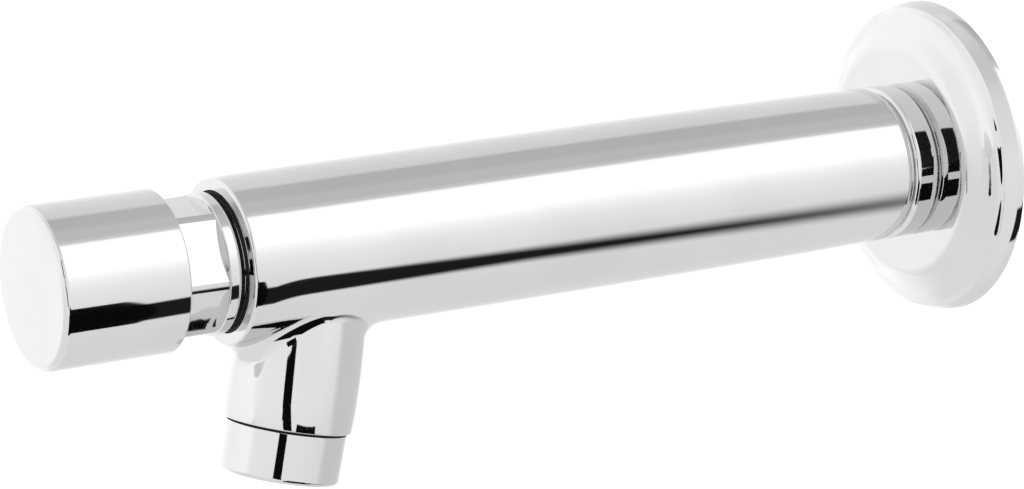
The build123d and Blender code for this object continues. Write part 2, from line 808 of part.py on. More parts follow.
def biarc_middle(start, start_heading, stop, stop_heading):
    """Where the two arcs of a biarc meet, and their common heading there."""
    chord = stop - start
    both = start_heading + stop_heading
    spread = 2 * (1 - start_heading.dot(stop_heading))
    reach = (math.sqrt(chord.dot(both) ** 2 + spread * chord.dot(chord)) - chord.dot(both)) / spread
    first = start + start_heading * reach
    second = stop - stop_heading * reach
    return (first + second) * (1 / 2), (second - first).normalized()


# Return spring: one wire from the bonnet to the cap, its coil built from biarcs of a quarter turn
coil_start = hex_front + face_gap + spring_wire_radius
coil_stop = cap_floor - face_gap - spring_wire_radius
spring_end_pitch = 2 * spring_wire_radius + spring_end_gap
spring_middle_pitch = 2 * (coil_stop - coil_start) / spring_turns - spring_end_pitch
quarters = 4 * spring_turns
with BuildPart() as return_spring:
    with BuildLine() as coil:
        for quarter in range(quarters):
            start, stop = coil_point(quarter / 4), coil_point((quarter + 1) / 4)
            start_heading, stop_heading = coil_heading(quarter / 4), coil_heading((quarter + 1) / 4)
            middle, middle_heading = biarc_middle(start, start_heading, stop, stop_heading)
            TangentArc(start, middle, tangent=start_heading)
            TangentArc(middle, stop, tangent=middle_heading)
    with BuildSketch(Plane(origin=coil_point(0), z_dir=coil_heading(0))):
        Circle(spring_wire_radius)
    sweep(path=coil.wire())
return_spring.part.label = "return_spring"
export_step(return_spring.part, "parts/return_spring.step")
steps_per_turn = 24
wire_gap = min(
    (coil_point(step / steps_per_turn + 1) - coil_point(step / steps_per_turn)).length
    for step in range((spring_turns - 1) * steps_per_turn + 1)
)
print("least gap between the spring's turns, mm:", round(wire_gap - 2 * spring_wire_radius, 3))

# Aerator housing: a threaded sleeve whose lower part shows below the nozzle
with BuildPart() as aerator_housing:
    turn(
        nozzle_section,
        [
            (0, aerator_top),
            (aerator_thread_radius, aerator_top),
            (aerator_thread_radius, aerator_shoulder),
            (aerator_radius, aerator_shoulder),
            (aerator_end_radius, aerator_end),
            (0, aerator_end),
        ],
    )
    fillet(nozzle_rims(aerator_housing, aerator_end_radius, aerator_end), aerator_edge_round)
    turn_ring(
        nozzle_section, 0, aerator_bore_radius, aerator_top - overrun, lip_depth, Mode.SUBTRACT
    )
    outlet_radius = aerator_bore_radius - aerator_lip
    turn_ring(nozzle_section, 0, outlet_radius, lip_depth - overrun, aerator_end + overrun, Mode.SUBTRACT)
aerator_housing.part.label = "aerator_housing"
export_step(aerator_housing.part, "parts/aerator_housing.step")

with BuildPart() as aerator_washer:
    turn_ring(
        nozzle_section,
        aerator_washer_hole_radius,
        aerator_thread_radius - face_gap,
        aerator_socket_floor + face_gap,
        aerator_washer_end,
    )
aerator_washer.part.label = "aerator_washer"
export_step(aerator_washer.part, "parts/aerator_washer.step")

# Jet plate: a pierced disc with a skirt, which splits the water into fine jets
with BuildPart() as jet_plate:
    turn_ring(nozzle_section, 0, aerator_inner_radius, jet_plate_top, jet_plate_end)
    turn_ring(
        nozzle_section,
        0,
        aerator_inner_radius - jet_plate_rim,
        jet_plate_top + jet_plate_thickness,
        jet_plate_end + overrun,
        Mode.SUBTRACT,
    )
    with BuildSketch(down_nozzle(jet_plate_top)):
        with PolarLocations(jet_hole_ring, jet_hole_count):
            Circle(jet_hole_radius)
    extrude(amount=jet_plate_thickness + overrun, mode=Mode.SUBTRACT)
jet_plate.part.label = "jet_plate"
export_step(jet_plate.part, "parts/jet_plate.step")

# Mixing cage: a ring with bars across it, where air is drawn into the jets
with BuildPart() as mixing_cage:
    turn_ring(
        nozzle_section, aerator_inner_radius - cage_wall, aerator_inner_radius, cage_top, cage_end
    )
    with BuildSketch(down_nozzle(cage_top)):
        with PolarLocations(0, cage_bar_count, angular_range=180):
            Rectangle(2 * aerator_inner_radius - cage_wall, cage_bar_width)
    extrude(amount=(cage_end - cage_top) / 2)
mixing_cage.part.label = "mixing_cage"
export_step(mixing_cage.part, "parts/mixing_cage.step")

# Outlet screen: a disc pierced by square holes between fine bars
with BuildPart() as outlet_screen:
    hole_side = screen_pitch - screen_bar
    reach = aerator_inner_radius - screen_rim
    rows = int(reach / screen_pitch)
    lines = [row * screen_pitch for row in range(-rows, rows + 1)]
    spots = [(column, line) for line in lines for column in lines]
    kept = [spot for spot in spots if math.hypot(*spot) + hole_side * math.sqrt(1 / 2) < reach]
    with BuildSketch(down_nozzle(screen_top)):
        Circle(aerator_inner_radius)
        with Locations(*kept):
            Rectangle(hole_side, hole_side, mode=Mode.SUBTRACT)
    extrude(amount=screen_thickness)
outlet_screen.part.label = "outlet_screen"
export_step(outlet_screen.part, "parts/outlet_screen.step")
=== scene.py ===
import json
import math
from types import SimpleNamespace

import bmesh
import bpy
import numpy as np
from mathutils import Matrix, Vector


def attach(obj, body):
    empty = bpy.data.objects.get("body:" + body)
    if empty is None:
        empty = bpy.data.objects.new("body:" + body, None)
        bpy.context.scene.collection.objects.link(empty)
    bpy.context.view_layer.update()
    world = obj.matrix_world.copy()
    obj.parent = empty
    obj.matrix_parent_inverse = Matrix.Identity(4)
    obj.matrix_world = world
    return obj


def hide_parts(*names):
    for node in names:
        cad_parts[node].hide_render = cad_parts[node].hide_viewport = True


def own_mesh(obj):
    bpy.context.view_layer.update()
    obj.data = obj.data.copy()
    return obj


bl_info = {
    "name": "Push Timed Tap",
    "version": (1, 0, 0),
    "blender": (4, 5, 0),
    "location": "View3D > Sidebar > Tap",
    "description": "Dresses a wall-mounted push tap with shells, seals, a thread and a soft studio",
    "category": "Object",
}

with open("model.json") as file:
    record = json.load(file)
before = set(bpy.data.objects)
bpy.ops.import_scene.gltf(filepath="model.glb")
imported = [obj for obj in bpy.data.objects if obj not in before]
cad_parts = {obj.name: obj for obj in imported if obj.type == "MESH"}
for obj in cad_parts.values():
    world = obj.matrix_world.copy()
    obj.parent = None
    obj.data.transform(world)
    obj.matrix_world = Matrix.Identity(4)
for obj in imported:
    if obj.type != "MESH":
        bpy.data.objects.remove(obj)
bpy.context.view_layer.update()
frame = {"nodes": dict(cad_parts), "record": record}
SLOT_OF = {part["node"]: part["material_slot"] for part in frame["record"]["subparts"]}

MM = 0.001
TURN_STEPS = 160
CLOSE = 1e-7  # two points that are this close are one, in metres
TAP_AXIS = (Vector((0, 0, 0)), Vector((0, -1, 0)))  # where it starts and which way it runs
AHEAD = np.array([0, -1.0, 0])


# Properties

def length(name, description, millimetres):
    """A length that a user may change."""
    return bpy.props.FloatProperty(
        name=name, description=description, default=millimetres * MM, min=0, precision=5,
        subtype="DISTANCE", unit="LENGTH",
    )


def turn_angle(name, description, degrees):
    """An angle that a user may change."""
    return bpy.props.FloatProperty(
        name=name, description=description, default=math.radians(degrees), subtype="ANGLE",
        unit="ROTATION",
    )


def share(name, description, default):
    """A plain number from 0 to 1 that a user may change."""
    return bpy.props.FloatProperty(
        name=name, description=description, default=default, min=0, max=1, subtype="FACTOR",
    )


def tint(name, description, default):
    """A colour that a user may change."""
    return bpy.props.FloatVectorProperty(
        name=name, description=description, default=default, size=3, min=0, max=1, subtype="COLOR",
    )


class TapSizes(bpy.types.PropertyGroup):
    """Sizes of the pieces that show, and of the body's bores. A station is a distance from the
    wall, and a depth is a distance down the nozzle's axis from the tap's."""
    body_radius: length("Body radius", "Outer radius at both ends of the body", 16.5)
    body_bulge: length("Body bulge", "Extra radius half way along", 0.15)
    body_slimming: length("Body slimming", "How much the body narrows towards the wall", 0.42)
    body_rear: length("Body rear", "Station of the body's rear face", 15.5)
    body_front: length("Body front", "Station of the body's front face", 167.9)
    body_rear_round: length("Rear round", "Rounding of the body's rear edge", 1.4)
    body_front_round: length("Front round", "Length of the rounding of the body's front edge", 0.8)
    body_roll: length("Front roll-off", "What polishing took off beside that edge", 0.2)
    body_roll_width: length("Roll-off width", "How far that reaches along the body", 10)
    seal_recess_radius: length(
        "Seal recess radius", "Radius of the recess in the body's front", 14
    )
    seal_recess_floor: length("Seal recess floor", "Station of the recess's floor", 163.5)
    thread_radius: length("Bonnet thread radius", "Radius of the hole for the bonnet", 13.25)
    thread_floor: length("Bonnet thread floor", "Station where that hole ends", 156.3)
    chamber_radius: length("Chamber radius", "Radius of the outlet chamber", 12.3)
    land_front: length("Land front", "Station of the front of the sleeve's land", 131)
    land_rear: length("Land rear", "Station of the rear of the sleeve's land", 119)
    land_radius: length("Land radius", "Radius of the hole through the land", 9.05)
    waterway_radius: length("Waterway radius", "Radius of the long bore", 11.5)
    socket_floor: length("Socket floor", "Station where the connector's socket ends", 31.5)
    socket_radius: length("Socket radius", "Radius of the connector's socket", 12.25)
    nozzle_station: length("Nozzle station", "Where the nozzle's axis crosses the tap's", 146.8)
    nozzle_tilt: turn_angle("Nozzle tilt", "How far the nozzle leans forward", 13.5)
    nozzle_root_radius: length("Nozzle root radius", "Radius of the nozzle below its blend", 12.56)
    nozzle_root_depth: length("Nozzle root depth", "Depth of the root radius", 17)
    nozzle_belly_radius: length("Nozzle belly radius", "Largest radius of the nozzle", 13.03)
    nozzle_belly_depth: length("Nozzle belly depth", "Depth of the largest radius", 30)
    nozzle_rim_radius: length("Nozzle rim radius", "Radius of the nozzle's lower edge", 12.8)
    nozzle_depth: length("Nozzle depth", "Depth of the nozzle's lower edge", 35.1)
    nozzle_rim_round: length("Nozzle rim round", "Rounding of the lower edge", 0.25)
    nozzle_blend: length("Nozzle blend", "Radius of the blend between nozzle and body", 4.2)
    aerator_hole_radius: length("Aerator hole radius", "Radius of the aerator's socket", 11.05)
    aerator_hole_depth: length("Aerator hole depth", "Depth of that socket's floor", 25.5)
    neck_radius: length("Neck radius", "Radius of the connector's neck", 16.05)
    neck_seam_radius: length("Neck seam radius", "Its radius where it meets the flange", 15.1)
    neck_front: length("Neck front", "Station where the neck meets the body", 15.45)
    neck_seam: length("Neck seam", "Station where the neck meets the flange", 8.9)
    thread_pitch: length("Thread pitch", "Pitch of the inlet thread", 1.814)
    thread_crest: length("Thread crest", "Outer radius of the inlet thread", 10.48)
    thread_root: length("Thread root", "Inner radius of the inlet thread", 9.32)
    flange_radius: length("Flange radius", "Largest radius of the flange, at the wall", 33)
    flange_edge_radius: length("Flange edge radius", "Radius of the flange's front edge", 31.9)
    flange_edge_height: length("Flange edge height", "Height of that edge", 4)
    flange_top_radius: length("Flange top radius", "Radius where its flat top ends", 23)
    collar_radius: length("Collar radius", "Radius of the bonnet's collar", 14)
    collar_rear: length("Collar rear", "Station of the collar's rear face", 168.45)
    collar_front: length("Collar front", "Station of the collar's front face", 171.9)
    hexagon_flats: length("Hexagon", "Across the flats of the bonnet's hexagon", 24.4)
    hexagon_front: length("Hexagon front", "Station of the hexagon's front", 184)
    hexagon_turn: turn_angle("Hexagon turn", "Turn of a corner, from the right up to the top", -8)
    hexagon_corner: length("Hexagon corner", "Radius that its corners are turned down to", 13.6)
    aerator_radius: length("Aerator radius", "Radius of the sleeve below the nozzle", 12)
    aerator_end_radius: length("Aerator end radius", "Radius of its lower end", 11.8)
    aerator_shoulder: length("Aerator shoulder", "Depth where the sleeve begins", 35.6)
    aerator_end: length("Aerator end", "Depth of its lower end", 45.6)
    aerator_round: length("Aerator round", "Rounding of its lower edge", 1)


class TapFinish(bpy.types.PropertyGroup):
    """Colours and finishes."""
    chrome: tint("Chrome", "Tint of the polished plate", (0.69, 0.69, 0.692))
    chrome_deep: tint(
        "Deep chrome", "Tint of the plate where it is a little thicker", (0.66, 0.662, 0.668)
    )
    chrome_roughness: share("Chrome roughness", "Roughness of the clean plate", 0.03)
    rubber: tint("Rubber", "Colour of the seals", (0.004, 0.004, 0.0045))
    steel: tint("Stainless steel", "Tint of turned and drawn steel", (0.62, 0.61, 0.59))
    brass: tint("Brass", "Tint of bare brass", (0.78, 0.57, 0.26))
    inside: tint("Inside metal", "Tint of the unplated insides", (0.05, 0.043, 0.032))
    white_plastic: tint("White plastic", "Colour of the piston and the rings", (0.82, 0.82, 0.79))
    grey_plastic: tint("Grey plastic", "Colour of the sleeve and the screen", (0.33, 0.34, 0.35))


def sizes():
    """The sizes in millimetres, and the angles in radians."""
    group = bpy.context.scene.tap_sizes
    units = {"nozzle_tilt": 1, "hexagon_turn": 1}
    return SimpleNamespace(**{
        name: getattr(group, name) / units.get(name, MM) for name in TapSizes.__annotations__
    })


def finish():
    """The colours and finishes."""
    return bpy.context.scene.tap_finish


def nozzle_axis():
    """Where the nozzle's axis starts and which way it runs."""
    s = sizes()
    along = Vector((0, -math.sin(s.nozzle_tilt), -math.cos(s.nozzle_tilt)))
    return Vector((0, -s.nozzle_station * MM, 0)), along


# Shader building

class Wire:
    """A node socket that takes part in sums: each sum adds its own Math node."""

    def __init__(self, nodes, socket):
        self.nodes = nodes
        self.socket = socket

    def math(self, operation, *others):
        return self.nodes.math(operation, self, *others)

    def __add__(self, other):
        return self.math("ADD", other)

    def __mul__(self, other):
        return self.math("MULTIPLY", other)

    __radd__, __rmul__ = __add__, __mul__

    def __sub__(self, other):
        return self.math("SUBTRACT", other)

    def __rsub__(self, other):
        return self.nodes.math("SUBTRACT", other, self)

    def __truediv__(self, other):
        return self.math("DIVIDE", other)

    def __rtruediv__(self, other):
        return self.nodes.math("DIVIDE", other, self)

    def step(self, low, high):
        """0 below low, 1 above high and a smooth rise between. A falling step has low above
        high."""
        return self.nodes.add(
            "ShaderNodeMapRange", {"interpolation_type": "SMOOTHSTEP"},
            {"Value": self, "From Min": low, "From Max": high},
        )


class Nodes:
    """Adds nodes to one tree."""

    def __init__(self, tree):
        self.tree = tree
        tree.nodes.clear()

    def add(self, kind, settings=None, values=(), out=0):
        """A node of a kind: its settings first, then its sockets' values or links. Returns an
        output."""
        node = self.tree.nodes.new(kind)
        for name, value in (settings or {}).items():
            if name == "stops":
                self.set_stops(node.color_ramp.elements, value)
            else:
                setattr(node, name, value)
        for name, value in values.items() if isinstance(values, dict) else enumerate(values):
            if isinstance(value, Wire):
                self.tree.links.new(value.socket, node.inputs[name])
            else:
                node.inputs[name].default_value = value
        return Wire(self, node.outputs[out]) if node.outputs else node

    def set_stops(self, elements, stops):
        """Gives a ramp its (place, level) stops."""
        elements.remove(elements[0])
        for index, (place, level) in enumerate(stops):
            stop = elements[0] if index == 0 else elements.new(place)
            stop.position = place
            stop.color = (level, level, level, 1)

    def math(self, operation, *values):
        """A sum on numbers and Wires."""
        return self.add("ShaderNodeMath", {"operation": operation}, values)

    def mix(self, factor, first, second):
        """A mix of two colours."""
        colors = [value if isinstance(value, Wire) else (*value, 1) for value in (first, second)]
        return self.add(
            "ShaderNodeMix", {"data_type": "RGBA"}, {0: factor, 6: colors[0], 7: colors[1]}, out=2,
        )

    def noise(self, place, scale, detail=2.0, roughness=0.5):
        return self.add(
            "ShaderNodeTexNoise", {},
            {"Vector": place, "Scale": scale, "Detail": detail, "Roughness": roughness},
        )

    def bump(self, strength, distance, height):
        return self.add(
            "ShaderNodeBump", {}, {"Strength": strength, "Distance": distance, "Height": height}
        )

    def parts(self, vector):
        """The x, y and z of a vector."""
        return [self.add("ShaderNodeSeparateXYZ", {}, {0: vector}, out=axis) for axis in range(3)]


def surface(name, base_color, roughness, metallic, normal, **constants):
    """Ends a material: what varies is passed as a Wire, and constants go straight on the shader."""
    nodes = base_color.nodes
    values = {
        "Base Color": base_color, "Roughness": roughness, "Metallic": metallic, "Normal": normal,
    }
    values.update({key.replace("_", " "): value for key, value in constants.items()})
    shader = nodes.add("ShaderNodeBsdfPrincipled", {}, values)
    nodes.add("ShaderNodeOutputMaterial", {}, {"Surface": shader})
    return bpy.data.materials[name]


def start_material(name):
    """An empty material, its nodes and the place on the piece."""
    material = bpy.data.materials.get(name) or bpy.data.materials.new(name)
    material.use_nodes = True
    nodes = Nodes(material.node_tree)
    return nodes, nodes.add("ShaderNodeTexCoord", {}, out=3)


def chrome_material(name, waviness):
    """Polished plate: a faint change of tint, a slow wave from polishing and fine wiping marks."""
    nodes, place = start_material(name)
    cloud = nodes.noise(place, 45.0, 3.0)
    wipe_place = nodes.add(
        "ShaderNodeMapping", {}, {"Vector": place, "Scale": (260.0, 40.0, 260.0)}
    )
    wipes = nodes.noise(wipe_place, 1.0, 4.0, 0.6)
    spots = nodes.add(
        "ShaderNodeTexVoronoi", {"feature": "F1"},
        {"Vector": place, "Scale": 130.0, "Randomness": 1.0},
    )
    spot = spots.step(0.16, 0.1) * nodes.noise(place, 70.0).step(0.58, 0.66)
    wave = nodes.noise(place, 70.0, 1.0)
    ripple = nodes.noise(place, 900.0, 2.0)
    clean = finish().chrome_roughness
    roughness = clean + cloud * 0.012 + (wipes.step(0.55, 0.75) * 0.012 + spot * 0.02)
    bump = nodes.bump(1.0, 1.0, wave * (12e-6 * waviness) + ripple * (0.05e-6 * waviness))
    color = nodes.mix(cloud.step(0.35, 0.7), finish().chrome, finish().chrome_deep)
    return surface(name, color, roughness, 1.0, bump)


def rubber_material(name):
    """Moulded black rubber with a fine grain and a bloom of paler dust."""
    nodes, place = start_material(name)
    grain = nodes.noise(place, 2600.0, 3.0, 0.7)
    bloom = nodes.noise(place, 160.0, 4.0, 0.6)
    base = finish().rubber
    pale = [channel * 2.2 + 0.004 for channel in base]
    color = nodes.mix(bloom.step(0.55, 0.85), base, pale)
    bump = nodes.bump(0.5, 2e-5, grain)
    return surface(name, color, 0.5 + bloom * 0.2, 0.0, bump, Specular_IOR_Level=0.2)


def turned_metal_material(name, base, grooves, roughness):
    """Bare metal with the rings that a lathe leaves, a few stains and a softer sheen."""
    nodes, place = start_material(name)
    x, y, z = nodes.parts(place)
    reach = (x * x + z * z).math("SQRT")
    wobble = nodes.noise(place, 220.0, 2.0) * 0.6
    rings = ((y + reach) * grooves + wobble).math("SINE") * 0.5 + 0.5
    stain = nodes.noise(place, 190.0, 4.0, 0.6)
    dark = [channel * 0.72 for channel in base]
    color = nodes.mix(stain.step(0.5, 0.8), base, dark)
    bump = nodes.bump(0.35, 8e-6, rings)
    return surface(name, color, roughness + rings * 0.06 + stain * 0.08, 1.0, bump)


def plastic_material(name, base, speck):
    """Moulded plastic: a slightly uneven colour, a satin grain and a few pale specks."""
    nodes, place = start_material(name)
    cloud = nodes.noise(place, 120.0, 3.0)
    grain = nodes.noise(place, 3200.0, 2.0, 0.6)
    darker = [channel * 0.86 for channel in base]
    color = nodes.mix(cloud.step(0.3, 0.8), base, darker)
    color = nodes.mix(nodes.noise(place, 1500.0).step(0.72, 0.78) * speck, color, (0.9, 0.9, 0.88))
    bump = nodes.bump(0.3, 1.5e-5, grain)
    return surface(name, color, 0.38 + cloud * 0.12, 0.0, bump)


# Modelling. Outlines and sizes are in millimetres, and meshes in metres.

def only(piece):
    """Makes one piece the only one selected, and the active one."""
    bpy.ops.object.select_all(action="DESELECT")
    piece.select_set(True)
    bpy.context.view_layer.objects.active = piece


def swung(first, last, swing, part):
    """Part of the way round from one vector to another that is a swing away."""
    return (first * math.sin(swing * (1 - part)) + last * math.sin(swing * part)) / math.sin(swing)


def rounded(corners, arc_steps=8):
    """An outline from (radius, place) corners. A third number in a corner rounds it off."""
    points = []
    for index, (radius, place, *rounding) in enumerate(corners):
        here = Vector((radius, place))
        if not rounding or index in (0, len(corners) - 1):
            points.append(here)
            continue
        back = (Vector(corners[index - 1][:2]) - here).normalized()
        ahead = (Vector(corners[index + 1][:2]) - here).normalized()
        half = back.angle(ahead) / 2
        centre = here + (back + ahead).normalized() * (rounding[0] / math.sin(half))
        first = here + back * (rounding[0] / math.tan(half)) - centre
        last = here + ahead * (rounding[0] / math.tan(half)) - centre
        for step in range(arc_steps + 1):
            points.append(centre + swung(first, last, first.angle(last), step / arc_steps))
    return points


def flowing(marks, steps=10):
    """A smooth outline through (radius, place, run, rise) marks. Run and rise set its direction."""
    points = [Vector(marks[0][:2])]
    for (*start, run0, rise0), (*stop, run1, rise1) in zip(marks, marks[1:]):
        start, stop = Vector(start), Vector(stop)
        reach = (stop - start).length
        leave = Vector((run0, rise0)).normalized() * reach
        arrive = Vector((run1, rise1)).normalized() * reach
        for step in range(1, steps + 1):
            t = step / steps
            points.append(
                start * (2 * t ** 3 - 3 * t ** 2 + 1) + leave * (t ** 3 - 2 * t ** 2 + t)
                + stop * (3 * t ** 2 - 2 * t ** 3) + arrive * (t ** 3 - t ** 2)
            )
    return points


def turned(name, outline, axis=TAP_AXIS, steps=TURN_STEPS, filled=False):
    """Turns an outline of (radius, place) points about an axis, ring by ring. Where it is filled,
    the holes at both of its ends are closed."""
    origin, along = axis
    outline = [(radius * MM, place * MM) for radius, place in outline]
    radius, place = outline[0]
    bpy.ops.object.select_all(action="DESELECT")
    bpy.ops.mesh.primitive_circle_add(
        vertices=steps, radius=radius, fill_type="NOTHING",
        location=origin + along * place, rotation=along.to_track_quat("Z", "X").to_euler(),
    )
    piece = bpy.context.object
    piece.name = name
    bpy.ops.object.mode_set(mode="EDIT")
    bpy.ops.mesh.select_all(action="SELECT")
    for (old_radius, old_place), (radius, place) in zip(outline, outline[1:]):
        bpy.ops.mesh.extrude_region_move(
            TRANSFORM_OT_translate={"value": along * (place - old_place)}
        )
        ratio = radius / old_radius
        if abs(ratio - 1) > CLOSE:
            bpy.ops.transform.resize(value=(ratio,) * 3, center_override=origin + along * place)
    bpy.ops.mesh.select_all(action="SELECT")
    bpy.ops.mesh.remove_doubles(threshold=CLOSE * (1 if filled else 10))
    close_mesh(filled)
    bpy.ops.object.transform_apply(location=True, rotation=True, scale=True)
    return piece


def close_mesh(filled=True):
    """Ends the editing of a piece: fills its holes where asked, and turns its faces outward."""
    if filled:
        bpy.ops.mesh.select_all(action="SELECT")
        bpy.ops.mesh.fill_holes(sides=0)
    bpy.ops.mesh.select_all(action="SELECT")
    bpy.ops.mesh.normals_make_consistent(inside=False)
    bpy.ops.object.mode_set(mode="OBJECT")


def join_shapes(piece, other):
    """Makes two overlapping solids one, and deletes the second."""
    only(piece)
    union = piece.modifiers.new("union", "BOOLEAN")
    union.operation = "UNION"
    union.solver = "EXACT"
    union.object = other
    bpy.ops.object.modifier_apply(modifier=union.name)
    bpy.data.objects.remove(other, do_unlink=True)


def even_normals(piece, degrees=32):
    """Smooths what is nearly flush and lets the large faces set the normals of the roundings."""
    only(piece)
    bpy.ops.object.shade_smooth_by_angle(angle=math.radians(degrees))
    modifier = piece.modifiers.new("even", "WEIGHTED_NORMAL")
    modifier.mode = "FACE_AREA"
    modifier.weight = 100
    modifier.keep_sharp = True
    bpy.ops.object.modifier_apply(modifier=modifier.name)


def dress(piece, body, slot, material, *nodes):
    """Gives a finished piece its material and its body, and hides the CAD nodes that it stands for.
    """
    piece.data.materials.clear()
    piece.data.materials.append(bpy.data.materials[material])
    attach(piece, body)
    if nodes:
        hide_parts(*nodes)


def bare_inside(piece, inner):
    """Gives the faces that are marked as inner the unplated metal."""
    piece.data.materials.append(bpy.data.materials["inside_metal"])
    piece.data.polygons.foreach_set("material_index", inner)


def spoke(turn):
    """Straight out from the tap's axis. The turn is counted from straight down, towards +X."""
    return np.array([math.sin(turn), 0, -math.cos(turn)])


def unit(vector):
    """The same direction with a length of 1."""
    return vector / np.linalg.norm(vector)


class BodySkin:
    """The outer skin of the body and its nozzle. A tube meets a leaning barrel in a rolling-ball
    blend that the tube's front face cuts through, so the skin is worked out point by point, with
    its true normals, which keeps the reflections in it unbroken."""

    COLUMNS = 192  # round the tube
    HOLE_SHARE = 5 / 24  # half the width of the fan round the nozzle, as a share of a turn
    FAN_REACH = 29  # how far it reaches behind the nozzle's axis
    FAN_ROWS = 26
    FAN_BIAS = 1.6  # more rows close to the nozzle
    HOLE_ROWS = 40  # beside the fan
    PLAIN_ROWS = 34  # behind it
    BARREL_ROWS = 18
    EDGE_ROWS = 8  # in the roundings of the tube's ends
    LIP_ROWS = 5  # in the rounding of the nozzle's lower edge
    RIM_SHARE = 0.45  # how deep the rounding of the front edge is for its length
    RIM_FLAT = 0.15  # the least that is left of the flat front face
    SLIMMING_POWER = 8  # how close to the wall the slimming stays
    LOWEST, HIGHEST = 2, 32  # depths between which the ball touches the nozzle
    SWEEP = 0.7  # how far to either side of a bearing its ball is looked for
    HALVINGS = 36  # how often a range is halved to find a place in it

    def __init__(self, s):
        self.s = s
        self.points, self.normals, self.faces, self.inner_faces = [], [], [], []
        lean = s.nozzle_tilt
        self.along = np.array([0, -math.sin(lean), -math.cos(lean)])
        self.forward = np.array([0, -math.cos(lean), math.sin(lean)])
        self.origin = AHEAD * s.nozzle_station
        self.hub = s.nozzle_station + s.body_radius * math.tan(lean)
        self.fan_rear = s.nozzle_station - self.FAN_REACH
        self.edge_start = s.body_front - s.body_front_round

    def tube_radius(self, station):
        """The tube bulges half way, slims towards the wall and rolls off at its front edge."""
        s = self.s
        part = (station - s.body_rear) / (s.body_front - s.body_rear)
        bulge = s.body_bulge * 4 * part * (1 - part)
        slimming = s.body_slimming * max(0.0, 1 - part) ** self.SLIMMING_POWER
        rolled = max(0.0, 1 - (self.edge_start - station) / s.body_roll_width)
        return s.body_radius + bulge - slimming - s.body_roll * rolled ** 3

    def on_tube(self, station, turn):
        """Point and normal on the tube."""
        out, near = spoke(turn), 0.05
        slope = (self.tube_radius(station + near) - self.tube_radius(station - near)) / (2 * near)
        return out * self.tube_radius(station) + AHEAD * station, unit(out - AHEAD * slope)

    def nozzle_radius(self, depth):
        """The nozzle is a slender barrel: it widens to its belly and draws in again to its rim."""
        s = self.s
        if depth < s.nozzle_belly_depth:
            far, end = s.nozzle_root_depth, s.nozzle_root_radius
        else:
            far, end = s.nozzle_depth, s.nozzle_rim_radius
        part = (depth - s.nozzle_belly_depth) / (far - s.nozzle_belly_depth)
        return s.nozzle_belly_radius - (s.nozzle_belly_radius - end) * part ** 2

    def nozzle_side(self, depth, out):
        """The normal of the nozzle's side."""
        near = 0.01
        slope = (self.nozzle_radius(depth + near) - self.nozzle_radius(depth - near)) / (2 * near)
        return unit(out - slope * self.along)

    def nozzle_spoke(self, turn):
        """Straight out from the nozzle's axis. This turn is from +X towards the front."""
        return np.array([math.cos(turn), 0, 0]) + self.forward * math.sin(turn)

    def by_nozzle(self, depth, reach):
        """The point at a depth, and as far out from the nozzle's axis as the reach says."""
        return self.origin + self.along * depth + reach

    def ball(self, turn):
        """Centre of the ball between nozzle and tube, the normals and the depth that it touches."""
        out, size = self.nozzle_spoke(turn), self.s.nozzle_blend
        low, high = self.LOWEST, self.HIGHEST
        for _ in range(self.HALVINGS):
            depth = (low + high) / 2
            side = self.nozzle_side(depth, out)
            centre = self.by_nozzle(depth, out * self.nozzle_radius(depth) + side * size)
            if math.hypot(centre[0], centre[2]) < self.tube_radius(-centre[1]) + size:
                low = depth
            else:
                high = depth
        return centre, side, unit(np.array([centre[0], 0, centre[2]])), depth

    def blend(self, ball, part):
        """Point and normal on the blend, from the nozzle at 0 to the tube at 1."""
        centre, side, down, _ = ball
        normal = swung(side, down, self.swing(ball), part)
        return centre - normal * self.s.nozzle_blend, normal

    def swing(self, ball):
        """The angle that the blend turns through."""
        return math.acos(float(np.clip(ball[1] @ ball[2], -1, 1)))

    def foot(self, ball):
        """Where the blend ends: its share of the arc, and its station and turn on the tube."""
        part = 1.0
        if -self.blend(ball, part)[0][1] > self.edge_start:
            low, high = 0.0, 1.0
            for _ in range(self.HALVINGS):
                part = (low + high) / 2
                if -self.blend(ball, part)[0][1] > self.edge_start:
                    high = part
                else:
                    low = part
        point = self.blend(ball, part)[0]
        return part, -point[1], math.atan2(point[0], -point[2])

    def bearing(self, station, turn):
        """Direction of a place on the tube from the nozzle's hub, with the tube rolled out flat."""
        return math.atan2(station - self.hub, turn * self.s.body_radius)

    def aim(self, station, turn):
        """The ball whose blend ends on the line from the hub to a place on the tube."""
        wanted = self.bearing(station, turn)
        low, high = wanted - self.SWEEP, wanted + self.SWEEP
        for _ in range(self.HALVINGS):
            middle = (low + high) / 2
            ball = self.ball(middle)
            foot = self.foot(ball)
            beyond = self.bearing(*foot[1:]) - wanted
            if (beyond + math.pi) % (2 * math.pi) < math.pi:
                low = middle
            else:
                high = middle
        return middle, ball, *foot

    def add(self, point, normal):
        """Keeps a point and its normal, and returns its number."""
        self.points.append(point)
        self.normals.append(normal)
        return len(self.points) - 1

    def add_ring(self, radius, station, facing=spoke):
        """A ring of points round the tap's axis. A point's normal is what facing says for its
        turn."""
        return [
            self.add(spoke(turn) * radius + AHEAD * station, facing(turn)) for turn in self.turns
        ]

    def strip(self, first, second, keep, gap=()):
        """Faces between two closed rows of points."""
        for index in range(len(first)):
            following = (index + 1) % len(first)
            if index not in gap:
                keep.append((first[index], first[following], second[following], second[index]))

    def column(self, station, turn, target):
        """One line of points from the nozzle's inside to a place on the tube."""
        s = self.s
        angle, ball, part, foot_station, foot_turn = self.aim(station, turn)
        out = self.nozzle_spoke(angle)
        # Inside: the socket's floor and wall
        line = [
            self.add(self.by_nozzle(depth, out * s.aerator_hole_radius), self.along)
            for depth in (s.aerator_hole_depth, s.nozzle_depth)
        ]
